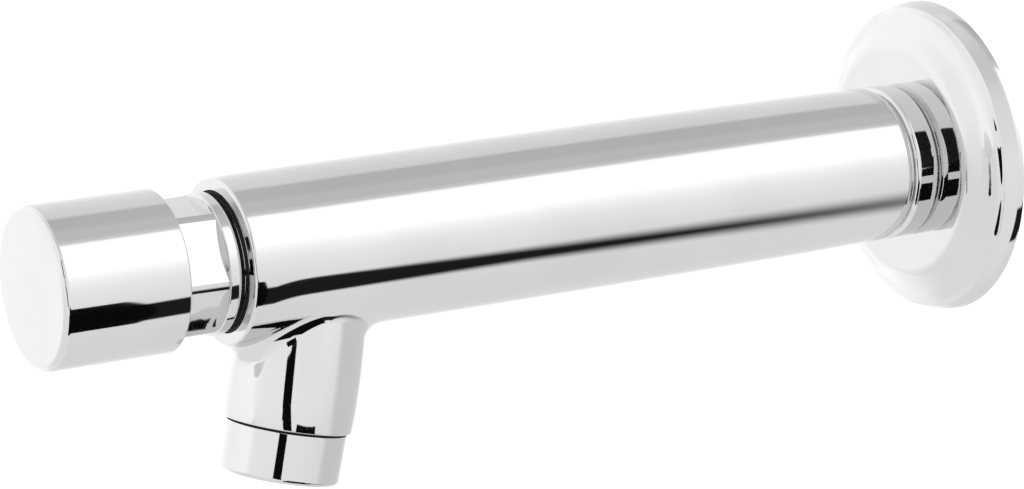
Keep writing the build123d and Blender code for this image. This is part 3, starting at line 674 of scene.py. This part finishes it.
        # The rounded lower edge, then the barrel
        tilt = math.asin(float(self.nozzle_side(s.nozzle_depth, out) @ self.along))
        low_depth = s.nozzle_depth - s.nozzle_rim_round * (1 - math.sin(tilt))
        inset = self.nozzle_radius(low_depth) - s.nozzle_rim_round * math.cos(tilt)
        for step in range(self.LIP_ROWS + 1):
            swing = math.pi / 2 + (tilt - math.pi / 2) * step / self.LIP_ROWS
            radius = inset + s.nozzle_rim_round * math.cos(swing)
            depth = s.nozzle_depth - s.nozzle_rim_round * (1 - math.sin(swing))
            normal = self.along * math.sin(swing) + out * math.cos(swing)
            line.append(self.add(self.by_nozzle(depth, out * radius), normal))
        for step in range(1, self.BARREL_ROWS + 1):
            depth = low_depth + (ball[3] - low_depth) * step / self.BARREL_ROWS
            point = self.by_nozzle(depth, out * self.nozzle_radius(depth))
            line.append(self.add(point, self.nozzle_side(depth, out)))
        # The blend, then the tube, as far as the target
        arc = s.nozzle_blend * self.swing(ball) * part
        flat = math.hypot(station - foot_station, (turn - foot_turn) * s.body_radius)
        for step in range(1, self.FAN_ROWS):
            gone = (arc + flat) * (step / self.FAN_ROWS) ** self.FAN_BIAS
            if gone <= arc:
                spot = self.blend(ball, part * gone / arc)
            else:
                passed = (gone - arc) / flat
                spot = self.on_tube(
                    foot_station + (station - foot_station) * passed,
                    foot_turn + (turn - foot_turn) * passed,
                )
            line.append(self.add(*spot))
        if target is None:
            end = self.blend(ball, part) if part < 1 else self.on_tube(station, turn)
            target = self.add(*end)
        return [*line, target]

    def build(self):
        """Makes the tube with its nozzle, the front and then the bores, back to the tube's rear."""
        self.turns = [
            2 * math.pi * index / self.COLUMNS
            for index in range(-self.COLUMNS // 2, self.COLUMNS // 2)
        ]
        rear, last = self.build_tube()
        front = self.build_front(last)
        front = self.build_bores(front)
        self.strip(front, rear, self.inner_faces)

    def build_tube(self):
        """The tube with the nozzle's fan in it. Returns its rearmost and its foremost row."""
        s, rows = self.s, []
        start = s.body_rear + s.body_rear_round
        slope = self.tube_radius(start + 1) - self.tube_radius(start)
        for step in range(self.EDGE_ROWS + 1):
            swing = math.pi / 2 * (1 - step / self.EDGE_ROWS)
            sine, cosine = math.sin(swing), math.cos(swing)
            rows.append(self.add_ring(
                self.tube_radius(start) - s.body_rear_round * (1 - cosine),
                s.body_rear + s.body_rear_round * (1 - sine),
                lambda turn: spoke(turn) * cosine - AHEAD * (sine + slope * cosine),
            ))
        for step in range(1, self.PLAIN_ROWS):
            station = start + (self.fan_rear - start) * step / self.PLAIN_ROWS
            rows.append([self.add(*self.on_tube(station, turn)) for turn in self.turns])
        # The rows beside the fan leave its inside open
        half, middle = round(self.COLUMNS * self.HOLE_SHARE), self.COLUMNS // 2
        hole = range(middle - half, middle + half + 1)
        side_rows = []
        stations = [
            self.fan_rear + (self.edge_start - self.fan_rear) * step / self.HOLE_ROWS
            for step in range(self.HOLE_ROWS + 1)
        ]
        for station in stations:
            side_rows.append([
                self.add(*self.on_tube(station, turn))
                if not side_rows or index not in hole[1:-1] else None
                for index, turn in enumerate(self.turns)
            ])
        for first, second in zip(rows, [*rows[1:], side_rows[0]]):
            self.strip(first, second, self.faces)
        for first, second in zip(side_rows, side_rows[1:]):
            self.strip(first, second, self.faces, gap=hole[:-1])
        # The fan's targets, once round the hole
        targets = [(0, index) for index in hole]
        targets += [(step, hole[-1]) for step in range(1, self.HOLE_ROWS + 1)]
        targets += [(self.HOLE_ROWS, index) for index in reversed(hole[:-1])]
        targets += [(step, hole[0]) for step in range(self.HOLE_ROWS - 1, 0, -1)]
        lines = []
        for step, index in targets:
            row = side_rows[step]
            lines.append(self.column(stations[step], self.turns[index], row[index]))
            row[index] = lines[-1][-1]
        levels = list(zip(*lines))
        for place, (first, second) in enumerate(zip(levels, levels[1:])):
            self.strip(first, second, self.faces if place > 1 else self.inner_faces)
        hub = self.add(self.by_nozzle(s.aerator_hole_depth, 0), self.along)
        for index, here in enumerate(levels[0]):
            self.inner_faces.append((hub, here, levels[0][(index + 1) % len(lines)]))
        return rows[0], side_rows[-1]

    def build_front(self, front):
        """The rounded front edge, where each line turns from its own normal to straight ahead,
        and the flat face. Returns its innermost row."""
        s = self.s
        rows = [[] for _ in range(self.EDGE_ROWS)]
        for index in front:
            point, normal = self.points[index], self.normals[index]
            facing = float(normal @ AHEAD)
            depth = s.body_front + point[1]
            room = math.hypot(point[0], point[2]) - s.seal_recess_radius - self.RIM_FLAT
            radius = min(
                depth / (1 - facing) * self.RIM_SHARE, room / math.sqrt(1 - facing ** 2)
            )
            for step, row in enumerate(rows, 1):
                turned_normal = swung(normal, AHEAD, math.acos(facing), step / len(rows))
                move = (turned_normal - normal) * radius
                move += AHEAD * (move @ AHEAD) * (depth / (radius * (1 - facing)) - 1)
                row.append(self.add(point + move, turned_normal))
        rows.append(self.add_ring(s.seal_recess_radius, s.body_front, lambda turn: AHEAD))
        for first, second in zip([front, *rows], rows):
            self.strip(first, second, self.faces)
        return rows[-1]

    def build_bores(self, row):
        """The bores, from the front back to the wall end. Returns the last row."""
        s = self.s
        for radius, station in (
            (s.seal_recess_radius, s.seal_recess_floor),
            (s.thread_radius, s.seal_recess_floor), (s.thread_radius, s.thread_floor),
            (s.chamber_radius, s.thread_floor), (s.chamber_radius, s.land_front),
            (s.land_radius, s.land_front), (s.land_radius, s.land_rear),
            (s.waterway_radius, s.land_rear), (s.waterway_radius, s.socket_floor),
            (s.socket_radius, s.socket_floor), (s.socket_radius, s.body_rear),
        ):
            following = self.add_ring(radius, station)
            self.strip(row, following, self.inner_faces)
            row = following
        return row

    def mesh(self, name):
        """The skin as a mesh, smooth outside by its own normals and plain in its bores."""
        self.build()
        mesh = bpy.data.meshes.new(name)
        points = [tuple(point * MM) for point in self.points]
        mesh.from_pydata(points, [], self.faces + self.inner_faces)
        mesh.validate()
        sheet = bmesh.new()
        sheet.from_mesh(mesh)
        bmesh.ops.recalc_face_normals(sheet, faces=sheet.faces)
        sheet.to_mesh(mesh)
        sheet.free()
        mesh.shade_smooth()
        outer = len(self.faces)
        mesh.normals_split_custom_set([
            Vector(self.normals[vertex]) if polygon.index < outer else polygon.normal.copy()
            for polygon in mesh.polygons for vertex in polygon.vertices
        ])
        return mesh


# Pieces

class TAP_OT_body(bpy.types.Operator):
    """Makes the body with its nozzle"""
    bl_idname = "tap.body"
    bl_label = "Body"

    def execute(self, context):
        skin = BodySkin(sizes())
        piece = bpy.data.objects.new("body_shell", skin.mesh("body_shell"))
        context.scene.collection.objects.link(piece)
        dress(piece, "tap", "chrome", "body_chrome", "tap_body")
        bare_inside(piece, [0] * len(skin.faces) + [1] * len(skin.inner_faces))
        return {"FINISHED"}


class TAP_OT_cap(bpy.types.Operator):
    """Makes the push cap"""
    bl_idname = "tap.cap"
    bl_label = "Push cap"

    def execute(self, context):
        bore, boss, inner, outer = 4.05, 6.5, 14.6, 16
        rear, boss_end, roof, front = 180.85, 195.65, 203.6, 207
        front_round, middle = 1.3, 2  # the flat front is filled inside its middle ring
        piece = turned("cap_shell", rounded([
            (bore, roof), (bore, boss_end), (boss, boss_end, 0.3), (boss, roof, 0.5),
            (inner, roof, 0.6), (inner, rear, 0.25), (outer, rear, 0.4),
            (outer, front, front_round), (middle, front),
        ]), filled=True)
        even_normals(piece)
        dress(piece, "push_button", "chrome", "cap_chrome", "push_cap")
        return {"FINISHED"}


class TAP_OT_bonnet(bpy.types.Operator):
    """Makes the bonnet: a turned piece with a hexagon, and the black ring behind its collar"""
    bl_idname = "tap.bonnet"
    bl_label = "Bonnet"

    def execute(self, context):
        s = sizes()
        flat = s.hexagon_flats / 2
        bore, packing, boss, spigot, thread = 4.05, 6.5, 8.4, 10.95, 13.1
        rear, spigot_floor, packing_floor, boss_front = 156.35, 161.95, 169, 186.5
        shoulder = s.collar_front + 0.3
        # The bore's own short wall, between the outline's two ends, isn't made: nothing shows it
        core = turned("bonnet_shell", rounded([
            (bore, spigot_floor), (spigot, spigot_floor), (spigot, rear), (thread, rear, 0.5),
            (thread, s.collar_rear), (thread + 0.1, s.collar_rear, 0.05),
            (s.collar_radius, s.collar_rear + 1.5, 0.9), (s.collar_radius, s.collar_front, 0.3),
            (flat - 0.1, shoulder), (boss, shoulder), (boss, boss_front, 0.3),
            (packing, boss_front), (packing, packing_floor), (bore, packing_floor),
        ]))
        join_shapes(core, self.hexagon(s, flat))
        even_normals(core, 22)
        dress(core, "tap", "chrome", "bonnet_chrome", "bonnet")
        front, rear = s.body_front - 0.05, s.body_front - 1.3
        inner, middle, outer = thread + 0.02, 13.4, s.seal_recess_radius - 0.02
        ring = turned("bonnet_ring", rounded([
            (middle, rear), (inner, rear, 0.1), (inner, front, 0.2), (outer, front, 0.2),
            (outer, rear, 0.1), (middle, rear),
        ]))
        even_normals(ring)
        dress(ring, "tap", "black_rubber", "black_rubber", "bonnet_seal")
        return {"FINISHED"}

    def hexagon(self, s, flat):
        """The hexagon's prism, with its corners turned down to a cylinder."""
        base = s.collar_front - 0.5
        depth = s.hexagon_front - base
        arc_steps = 9
        bpy.ops.object.select_all(action="DESELECT")
        bpy.ops.mesh.primitive_cylinder_add(
            vertices=6 * (arc_steps + 1), radius=s.hexagon_corner * MM, depth=depth * MM,
            location=(0, (-base - depth / 2) * MM, 0), rotation=(math.pi / 2, 0, 0),
        )
        head = bpy.context.object
        head.name = "hexagon"
        bpy.ops.object.transform_apply(location=True, rotation=True, scale=True)
        limit = math.acos(flat / s.hexagon_corner)
        rings = {}
        for vertex in head.data.vertices:
            rings.setdefault(round(vertex.co.y / MM), []).append(vertex)
        for ring in rings.values():
            ring.sort(key=lambda vertex: math.atan2(vertex.co.z, vertex.co.x))
            for index, vertex in enumerate(ring):
                side, step = divmod(index, arc_steps + 1)
                swing = limit + (math.pi / 3 - 2 * limit) * step / arc_steps
                angle = s.hexagon_turn - math.pi / 2 + (side - 2) * math.pi / 3 + swing
                vertex.co.x = s.hexagon_corner * MM * math.cos(angle)
                vertex.co.z = s.hexagon_corner * MM * math.sin(angle)
        return head


class TAP_OT_connector(bpy.types.Operator):
    """Makes the inlet connector: its neck, its tail and the pipe thread on the tail"""
    bl_idname = "tap.connector"
    bl_label = "Inlet connector"

    def execute(self, context):
        s = sizes()
        bore, strainer, mouth, relief, shank, seat = 6.4, 7.85, 8.45, 9.2, 12, 12.2
        groove, shoulder = 10.35, 15
        end, strainer_floor, limiter_floor, nose_end = -13, -11.2, -2, 30.5
        relief_rear, relief_front, groove_rear, groove_front = 1, 2.6, 16.7, 18.9
        contact = s.neck_seam + 0.02
        tail = rounded([
            (bore, nose_end), (bore, limiter_floor), (strainer, limiter_floor),
            (strainer, strainer_floor), (mouth, strainer_floor), (mouth, end),
            (s.thread_root - 0.1, end, 0.2), (s.thread_root, end + 0.4),
            (s.thread_root, relief_rear), (relief, relief_rear), (relief, relief_front),
            (shank, relief_front, 0.3), (shank, contact),
        ])
        rear = flowing([
            (s.neck_seam_radius, contact, 1, 0.3), (s.neck_radius, s.neck_seam + 2, 0, 1),
        ])
        front = flowing([
            (s.neck_radius, s.neck_front - 1.7, 0, 1),
            (s.neck_radius - 0.6, s.neck_front - 0.7, -1, 0.4),
        ])
        nose = rounded([
            (shoulder, s.neck_front - 0.55), (shoulder, s.neck_front), (seat, s.neck_front),
            (seat, groove_rear), (groove, groove_rear), (groove, groove_front),
            (seat, groove_front), (seat, nose_end, 0.5), (bore, nose_end),
        ])
        piece = turned("connector_shell", [*tail, *rear, *front, *nose])
        even_normals(piece, 28)
        dress(piece, "tap", "chrome", "neck_chrome", "inlet_connector")
        thread = self.thread(s, end + 1.3, 0.4)
        dress(thread, "tap", "chrome", "neck_chrome")
        return {"FINISHED"}

    def thread(self, s, start, stop):
        """One ridge wound round the tail, which sinks into it at both ends."""
        mesh = bpy.data.meshes.new("inlet_thread")
        wide, narrow = s.thread_pitch * 0.47, s.thread_pitch * 0.1
        foot = s.thread_root - 0.15
        profile = [(foot, -wide), (s.thread_crest, -narrow), (s.thread_crest, narrow), (foot, wide)]
        corners = [(radius * MM, (place - start) * MM, 0) for radius, place in profile]
        mesh.from_pydata(corners, [(0, 1), (1, 2), (2, 3), (3, 0)], [])
        piece = bpy.data.objects.new("inlet_thread", mesh)
        bpy.context.scene.collection.objects.link(piece)
        only(piece)
        winding = piece.modifiers.new("winding", "SCREW")
        winding.axis = "Y"
        winding.angle = math.tau
        winding.screw_offset = -s.thread_pitch * MM
        winding.iterations = int((stop - start) / s.thread_pitch)
        winding.steps = winding.render_steps = 72
        bpy.ops.object.modifier_apply(modifier=winding.name)
        fade = s.thread_pitch / 2
        stations = [-vertex.co.y / MM for vertex in piece.data.vertices]
        low, high = min(stations), max(stations)
        for vertex, station in zip(piece.data.vertices, stations):
            near = min(1.0, (station - low) / fade, (high - station) / fade)
            radius = math.hypot(vertex.co.x, vertex.co.z) / MM
            if radius > foot + CLOSE / MM and near < 1:
                ratio = (foot + (radius - foot) * math.sin(near * math.pi / 2)) / radius
                vertex.co.x *= ratio
                vertex.co.z *= ratio
        bpy.ops.object.mode_set(mode="EDIT")
        close_mesh()
        bpy.ops.object.shade_smooth_by_angle(angle=math.radians(30))
        return piece


class TAP_OT_flange(bpy.types.Operator):
    """Makes the wall flange"""
    bl_idname = "tap.flange"
    bl_label = "Wall flange"

    def execute(self, context):
        s = sizes()
        bore, seat, gasket_inner, gasket_outer = 12.3, 15, 27.1, 31.1
        gasket_floor, skirt_floor, roof = 1.95, 4.6, s.neck_seam - 1.8
        top, edge, height = s.flange_top_radius, s.flange_edge_radius, s.flange_edge_height
        corner = (edge, height + 0.1)
        face = flowing([
            (top, s.neck_seam, 1, 0), (top + 2.3, s.neck_seam - 0.65, 1, -0.6),
            (top + 4.2, s.neck_seam - 1.85, 1, -0.66), (edge - 2.6, height + 1.95, 1, -0.42),
            (edge - 1.2, height + 1.3, 1, -0.5), (*corner, 1, -0.85),
        ])
        side = flowing([(edge + 0.12, height - 0.3, 0.31, -1), (s.flange_radius, 0.12, 0.1, -1)])
        rim = rounded([face[-2], (*corner, 0.1), side[0]])[1:-1]
        back = rounded([
            (s.flange_radius, 0), (gasket_outer, 0), (gasket_outer, gasket_floor),
            (gasket_inner, gasket_floor), (gasket_inner, skirt_floor), (top - 0.4, roof, 1),
            (bore, roof), (bore, s.neck_seam),
        ])
        outline = [(bore, s.neck_seam), (seat, s.neck_seam), *face[:-2], *rim, *side, *back]
        piece = turned("flange_shell", outline, steps=192)
        even_normals(piece, 25)
        dress(piece, "tap", "chrome", "flange_chrome", "wall_flange")
        return {"FINISHED"}


class TAP_OT_aerator(bpy.types.Operator):
    """Makes the aerator's sleeve"""
    bl_idname = "tap.aerator"
    bl_label = "Aerator"

    def execute(self, context):
        s = sizes()
        mouth, bore, spigot, head = 8.9, 9.9, 11, 27.4
        lip = s.aerator_end - 1.2
        plated = 9.5  # the lower rim is plated outside this radius
        piece = turned("aerator_shell", rounded([
            (bore, head), (spigot, head, 0.4), (spigot, s.aerator_shoulder),
            (s.aerator_radius, s.aerator_shoulder, 0.12),
            (s.aerator_end_radius, s.aerator_end, s.aerator_round),
            (mouth, s.aerator_end, 0.3), (mouth, lip), (bore, lip), (bore, head),
        ]), axis=nozzle_axis())
        even_normals(piece)
        dress(piece, "tap", "chrome", "aerator_chrome", "aerator_housing")
        origin, along = nozzle_axis()
        inner = []
        for polygon in piece.data.polygons:
            depth = (polygon.center - origin).dot(along)
            out = (polygon.center - origin - along * depth).length
            inner.append(int(depth <= s.aerator_shoulder * MM - CLOSE or out <= plated * MM))
        bare_inside(piece, inner)
        return {"FINISHED"}


class TAP_OT_spring(bpy.types.Operator):
    """Makes the return spring"""
    bl_idname = "tap.spring"
    bl_label = "Return spring"

    def execute(self, context):
        coil = frame["nodes"]["return_spring"]
        piece = bpy.data.objects.new("cap_spring", coil.data.copy())
        context.scene.collection.objects.link(piece)
        only(piece)
        bpy.ops.object.mode_set(mode="EDIT")
        bpy.ops.mesh.select_all(action="SELECT")
        bpy.ops.mesh.remove_doubles(threshold=CLOSE)
        bpy.ops.object.mode_set(mode="OBJECT")
        bpy.ops.object.shade_smooth_by_angle(angle=math.radians(50))
        dress(piece, "tap", "stainless_steel", "stainless_steel", "return_spring")
        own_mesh(piece)
        return {"FINISHED"}


class TAP_OT_materials(bpy.types.Operator):
    """Makes the finishes and gives the CAD nodes theirs"""
    bl_idname = "tap.materials"
    bl_label = "Finishes"

    def execute(self, context):
        look = finish()
        for piece, waviness in (
            ("body", 0.5), ("cap", 0.25), ("bonnet", 2.0), ("neck", 0.6), ("flange", 0.8),
            ("aerator", 0.4),
        ):
            chrome_material(piece + "_chrome", waviness)
        turned_metal_material("inside_metal", look.inside, 21000.0, 0.5)
        made = {
            "chrome": chrome_material("chrome", 0.6),
            "black_rubber": rubber_material("black_rubber"),
            "stainless_steel": turned_metal_material("stainless_steel", look.steel, 26000.0, 0.22),
            "bare_brass": turned_metal_material("bare_brass", look.brass, 21000.0, 0.25),
            "white_acetal": plastic_material("white_acetal", look.white_plastic, 0.0),
            "grey_acetal": plastic_material("grey_acetal", look.grey_plastic, 0.25),
        }
        for name, node in frame["nodes"].items():
            node.data.materials.clear()
            node.data.materials.append(made[SLOT_OF[name]])
        return {"FINISHED"}


class TAP_OT_stage(bpy.types.Operator):
    """Makes the floor, the light and the camera"""
    bl_idname = "tap.stage"
    bl_label = "Stage"

    DIMMED = 0.985  # how much of the light the black flags take away

    def execute(self, context):
        scene = context.scene
        self.light_world(scene)
        self.add_floor()
        self.add_card(scene)
        self.add_camera(scene)
        scene.view_settings.view_transform = "Standard"
        return {"FINISHED"}

    def light_world(self, scene):
        """A studio of long soft panels beside the tap. Turns are in degrees about the tap's axis,
        from the right, up over the top."""
        world = scene.world = scene.world or bpy.data.worlds.new("studio")
        world.use_nodes = True
        nodes = Nodes(world.node_tree)
        sight = nodes.add("ShaderNodeTexCoord", {}, out=0)
        x, y, z = nodes.parts(sight)
        turn = z.math("ARCTAN2", x) * (180 / math.pi)
        beside = self.panels(nodes, turn, [
            (-180, 1.14), (-160, 1.1), (-135, 0.9), (-70, 0.95), (-25.5, 1.02), (0, 1.14),
            (12, 1.27), (30, 1.6), (62, 1.52), (65, 1.4), (67.5, 0.86), (74, 0.7), (85, 0.71),
            (95, 0.64), (112, 0.64), (117, 0.89), (150, 0.97), (170, 1.08), (180, 1.14),
        ])
        across = self.panels(nodes, turn, [
            (-180, 1.3), (-150, 1.3), (-130, 1.05), (-70, 1.0), (-20, 1.08), (0, 1.1), (45, 0.95),
            (60, 0.82), (80, 0.82), (100, 0.95), (130, 1.2), (150, 1.3), (180, 1.3),
        ])
        ahead = self.panels(nodes, turn, [
            (-180, 1.26), (-162, 1.22), (-140, 1.0), (-60, 1.0), (0, 1.12), (45, 1.15), (70, 1.2),
            (110, 1.2), (140, 1.3), (172, 1.3), (180, 1.26),
        ])
        # The low black flag beside the tap, which narrows and blurs towards the wall
        middle, bend, bend_width = 0.43, 0.48, 0.05
        lower_edge, upper_edge, softness = -52, -28, 1.5
        above = (y - middle).math("MAXIMUM", 0.0)
        below = (middle - y).math("MAXIMUM", 0.0).math("MINIMUM", bend_width)
        low = lower_edge - (y - bend).math("MAXIMUM", 0.0) * 110 - below * 120
        high = upper_edge - above * 118 - below * 100
        blur = above * 90 + softness
        flag = ((turn - low) / blur).step(-1.0, 1.0) * ((high - turn) / blur).step(-1.0, 1.0)
        beside = beside * (1 - flag * self.DIMMED)
        across = across * (1 - flag * y.step(0.15, 0.18) * self.DIMMED)
        level = self.blend(across, beside, y.step(0.14, 0.3))
        level = self.blend(level, ahead, y.step(-0.3, -0.45))
        # The dark room behind the camera, above the card, which leans at its top
        bearing = y.math("ARCTAN2", x) * (180 / math.pi)
        leaning = bearing + z.step(0.28, 0.3) * 7
        room = leaning.step(-40.5, -39.5) * bearing.step(-32.5, -33.5)
        room = room * z.step(-0.09, -0.08) * z.step(0.66, 0.62)
        level = level * (1 - room * self.DIMMED)
        # Towards the wall the panels end, and the camera itself sees plain white
        wall_level, white = 0.8, 1.0
        level = self.blend(level, wall_level, y.step(0.66, 0.82))
        level = self.blend(level, white, nodes.add("ShaderNodeLightPath", {}))
        shade = nodes.add("ShaderNodeBackground", {}, {"Color": (1, 1, 1, 1), "Strength": level})
        nodes.add("ShaderNodeOutputWorld", {}, {"Surface": shade})

    def blend(self, first, second, factor):
        """One brightness running into another."""
        return first * (1 - factor) + factor * second

    def panels(self, nodes, turn, levels):
        """The brightness of a ring of panels. The ramp holds halves, since its levels end at 1."""
        stops = [((angle + 180) / 360, level / 2) for angle, level in levels]
        return nodes.add("ShaderNodeValToRGB", {"stops": stops}, ((turn + 180) / 360,)) * 2

    def add_card(self, scene):
        """Two black cards, by the camera and low beside the tap. Only reflections show them."""
        mesh = bpy.data.meshes.new("card")
        across = Vector((0.0544, 0.0839, 0.0))
        low, high = Vector((0.79, -0.56, -0.26)), Vector((0.69, -0.70, 0.12))
        corners = [
            low - across, low + across, high + across, high - across,
            (0.2255, -0.305, -0.347), (0.2255, -0.02, -0.347), (0.39, -0.02, -0.165),
            (0.4337, -0.262, -0.1162), (0.359, -0.266, -0.199), (0.359, -0.305, -0.199),
        ]
        mesh.from_pydata(corners, [], [(0, 1, 2, 3), tuple(range(4, len(corners)))])
        card = bpy.data.objects.new("card", mesh)
        scene.collection.objects.link(card)
        nodes, _ = start_material("card")
        black = nodes.add("ShaderNodeEmission", {}, {"Strength": 0.004})
        glossy = nodes.add("ShaderNodeLightPath", {}, out=3)
        self.show_only_to(nodes, glossy, black, card)

    def add_floor(self):
        """A pale floor well below the tap. Only the camera sees it."""
        bpy.ops.object.select_all(action="DESELECT")
        bpy.ops.mesh.primitive_plane_add(size=30, location=(0, 0, -0.3))
        floor = bpy.context.object
        floor.name = "floor"
        nodes, place = start_material("floor")
        color = nodes.mix(nodes.noise(place, 3.0), (0.93, 0.93, 0.93), (0.95, 0.95, 0.95))
        diffuse = nodes.add("ShaderNodeBsdfDiffuse", {}, {"Color": color})
        glow = nodes.add("ShaderNodeEmission", {}, {"Strength": 0.35})
        lit = nodes.add("ShaderNodeAddShader", {}, (diffuse, glow))
        self.show_only_to(nodes, nodes.add("ShaderNodeLightPath", {}), lit, floor)

    def show_only_to(self, nodes, rays, shader, piece):
        """Ends a stage material that other rays pass through."""
        clear = nodes.add("ShaderNodeBsdfTransparent", {})
        both = nodes.add("ShaderNodeMixShader", {}, (rays, clear, shader))
        nodes.add("ShaderNodeOutputMaterial", {}, {"Surface": both})
        piece.data.materials.append(bpy.data.materials[piece.name])

    def add_camera(self, scene):
        """The camera where the photographer stood."""
        camera = bpy.data.objects.new("camera", bpy.data.cameras.new("camera"))
        scene.collection.objects.link(camera)
        camera.data.lens = 145.58
        camera.data.sensor_width = 36
        camera.data.clip_end = 50
        right = Vector((0.49426866, 0.86820091, -0.04388249))
        up = Vector((-0.14711384, 0.13329044, 0.98009754))
        back = Vector((0.85677069, -0.47797577, 0.19360565))
        turn = Matrix((right, up, back)).transposed().to_4x4()
        camera.matrix_world = Matrix.Translation((0.7122743, -0.5001264, 0.1554892)) @ turn
        scene.camera = camera


class TAP_PT_sidebar(bpy.types.Panel):
    """Lists the sizes, the finishes and the pieces"""
    bl_label = "Push Timed Tap"
    bl_idname = "TAP_PT_sidebar"
    bl_space_type = "VIEW_3D"
    bl_region_type = "UI"
    bl_category = "Tap"

    def draw(self, context):
        layout = self.layout
        for group in (context.scene.tap_finish, context.scene.tap_sizes):
            box = layout.box()
            for name in group.__annotations__:
                box.prop(group, name)
        for operator in STEPS:
            layout.operator(operator.bl_idname)


STEPS = (
    TAP_OT_materials, TAP_OT_body, TAP_OT_cap, TAP_OT_bonnet, TAP_OT_connector, TAP_OT_flange,
    TAP_OT_aerator, TAP_OT_spring, TAP_OT_stage,
)
CLASSES = (TapSizes, TapFinish, *STEPS, TAP_PT_sidebar)


def register():
    for item in CLASSES:
        bpy.utils.register_class(item)
    bpy.types.Scene.tap_sizes = bpy.props.PointerProperty(type=TapSizes)
    bpy.types.Scene.tap_finish = bpy.props.PointerProperty(type=TapFinish)


def unregister():
    del bpy.types.Scene.tap_finish
    del bpy.types.Scene.tap_sizes
    for item in reversed(CLASSES):
        bpy.utils.unregister_class(item)


def main():
    register()
    for operator in STEPS:
        group, name = operator.bl_idname.split(".")
        getattr(getattr(bpy.ops, group), name)()


if __name__ == "__main__":
    main()
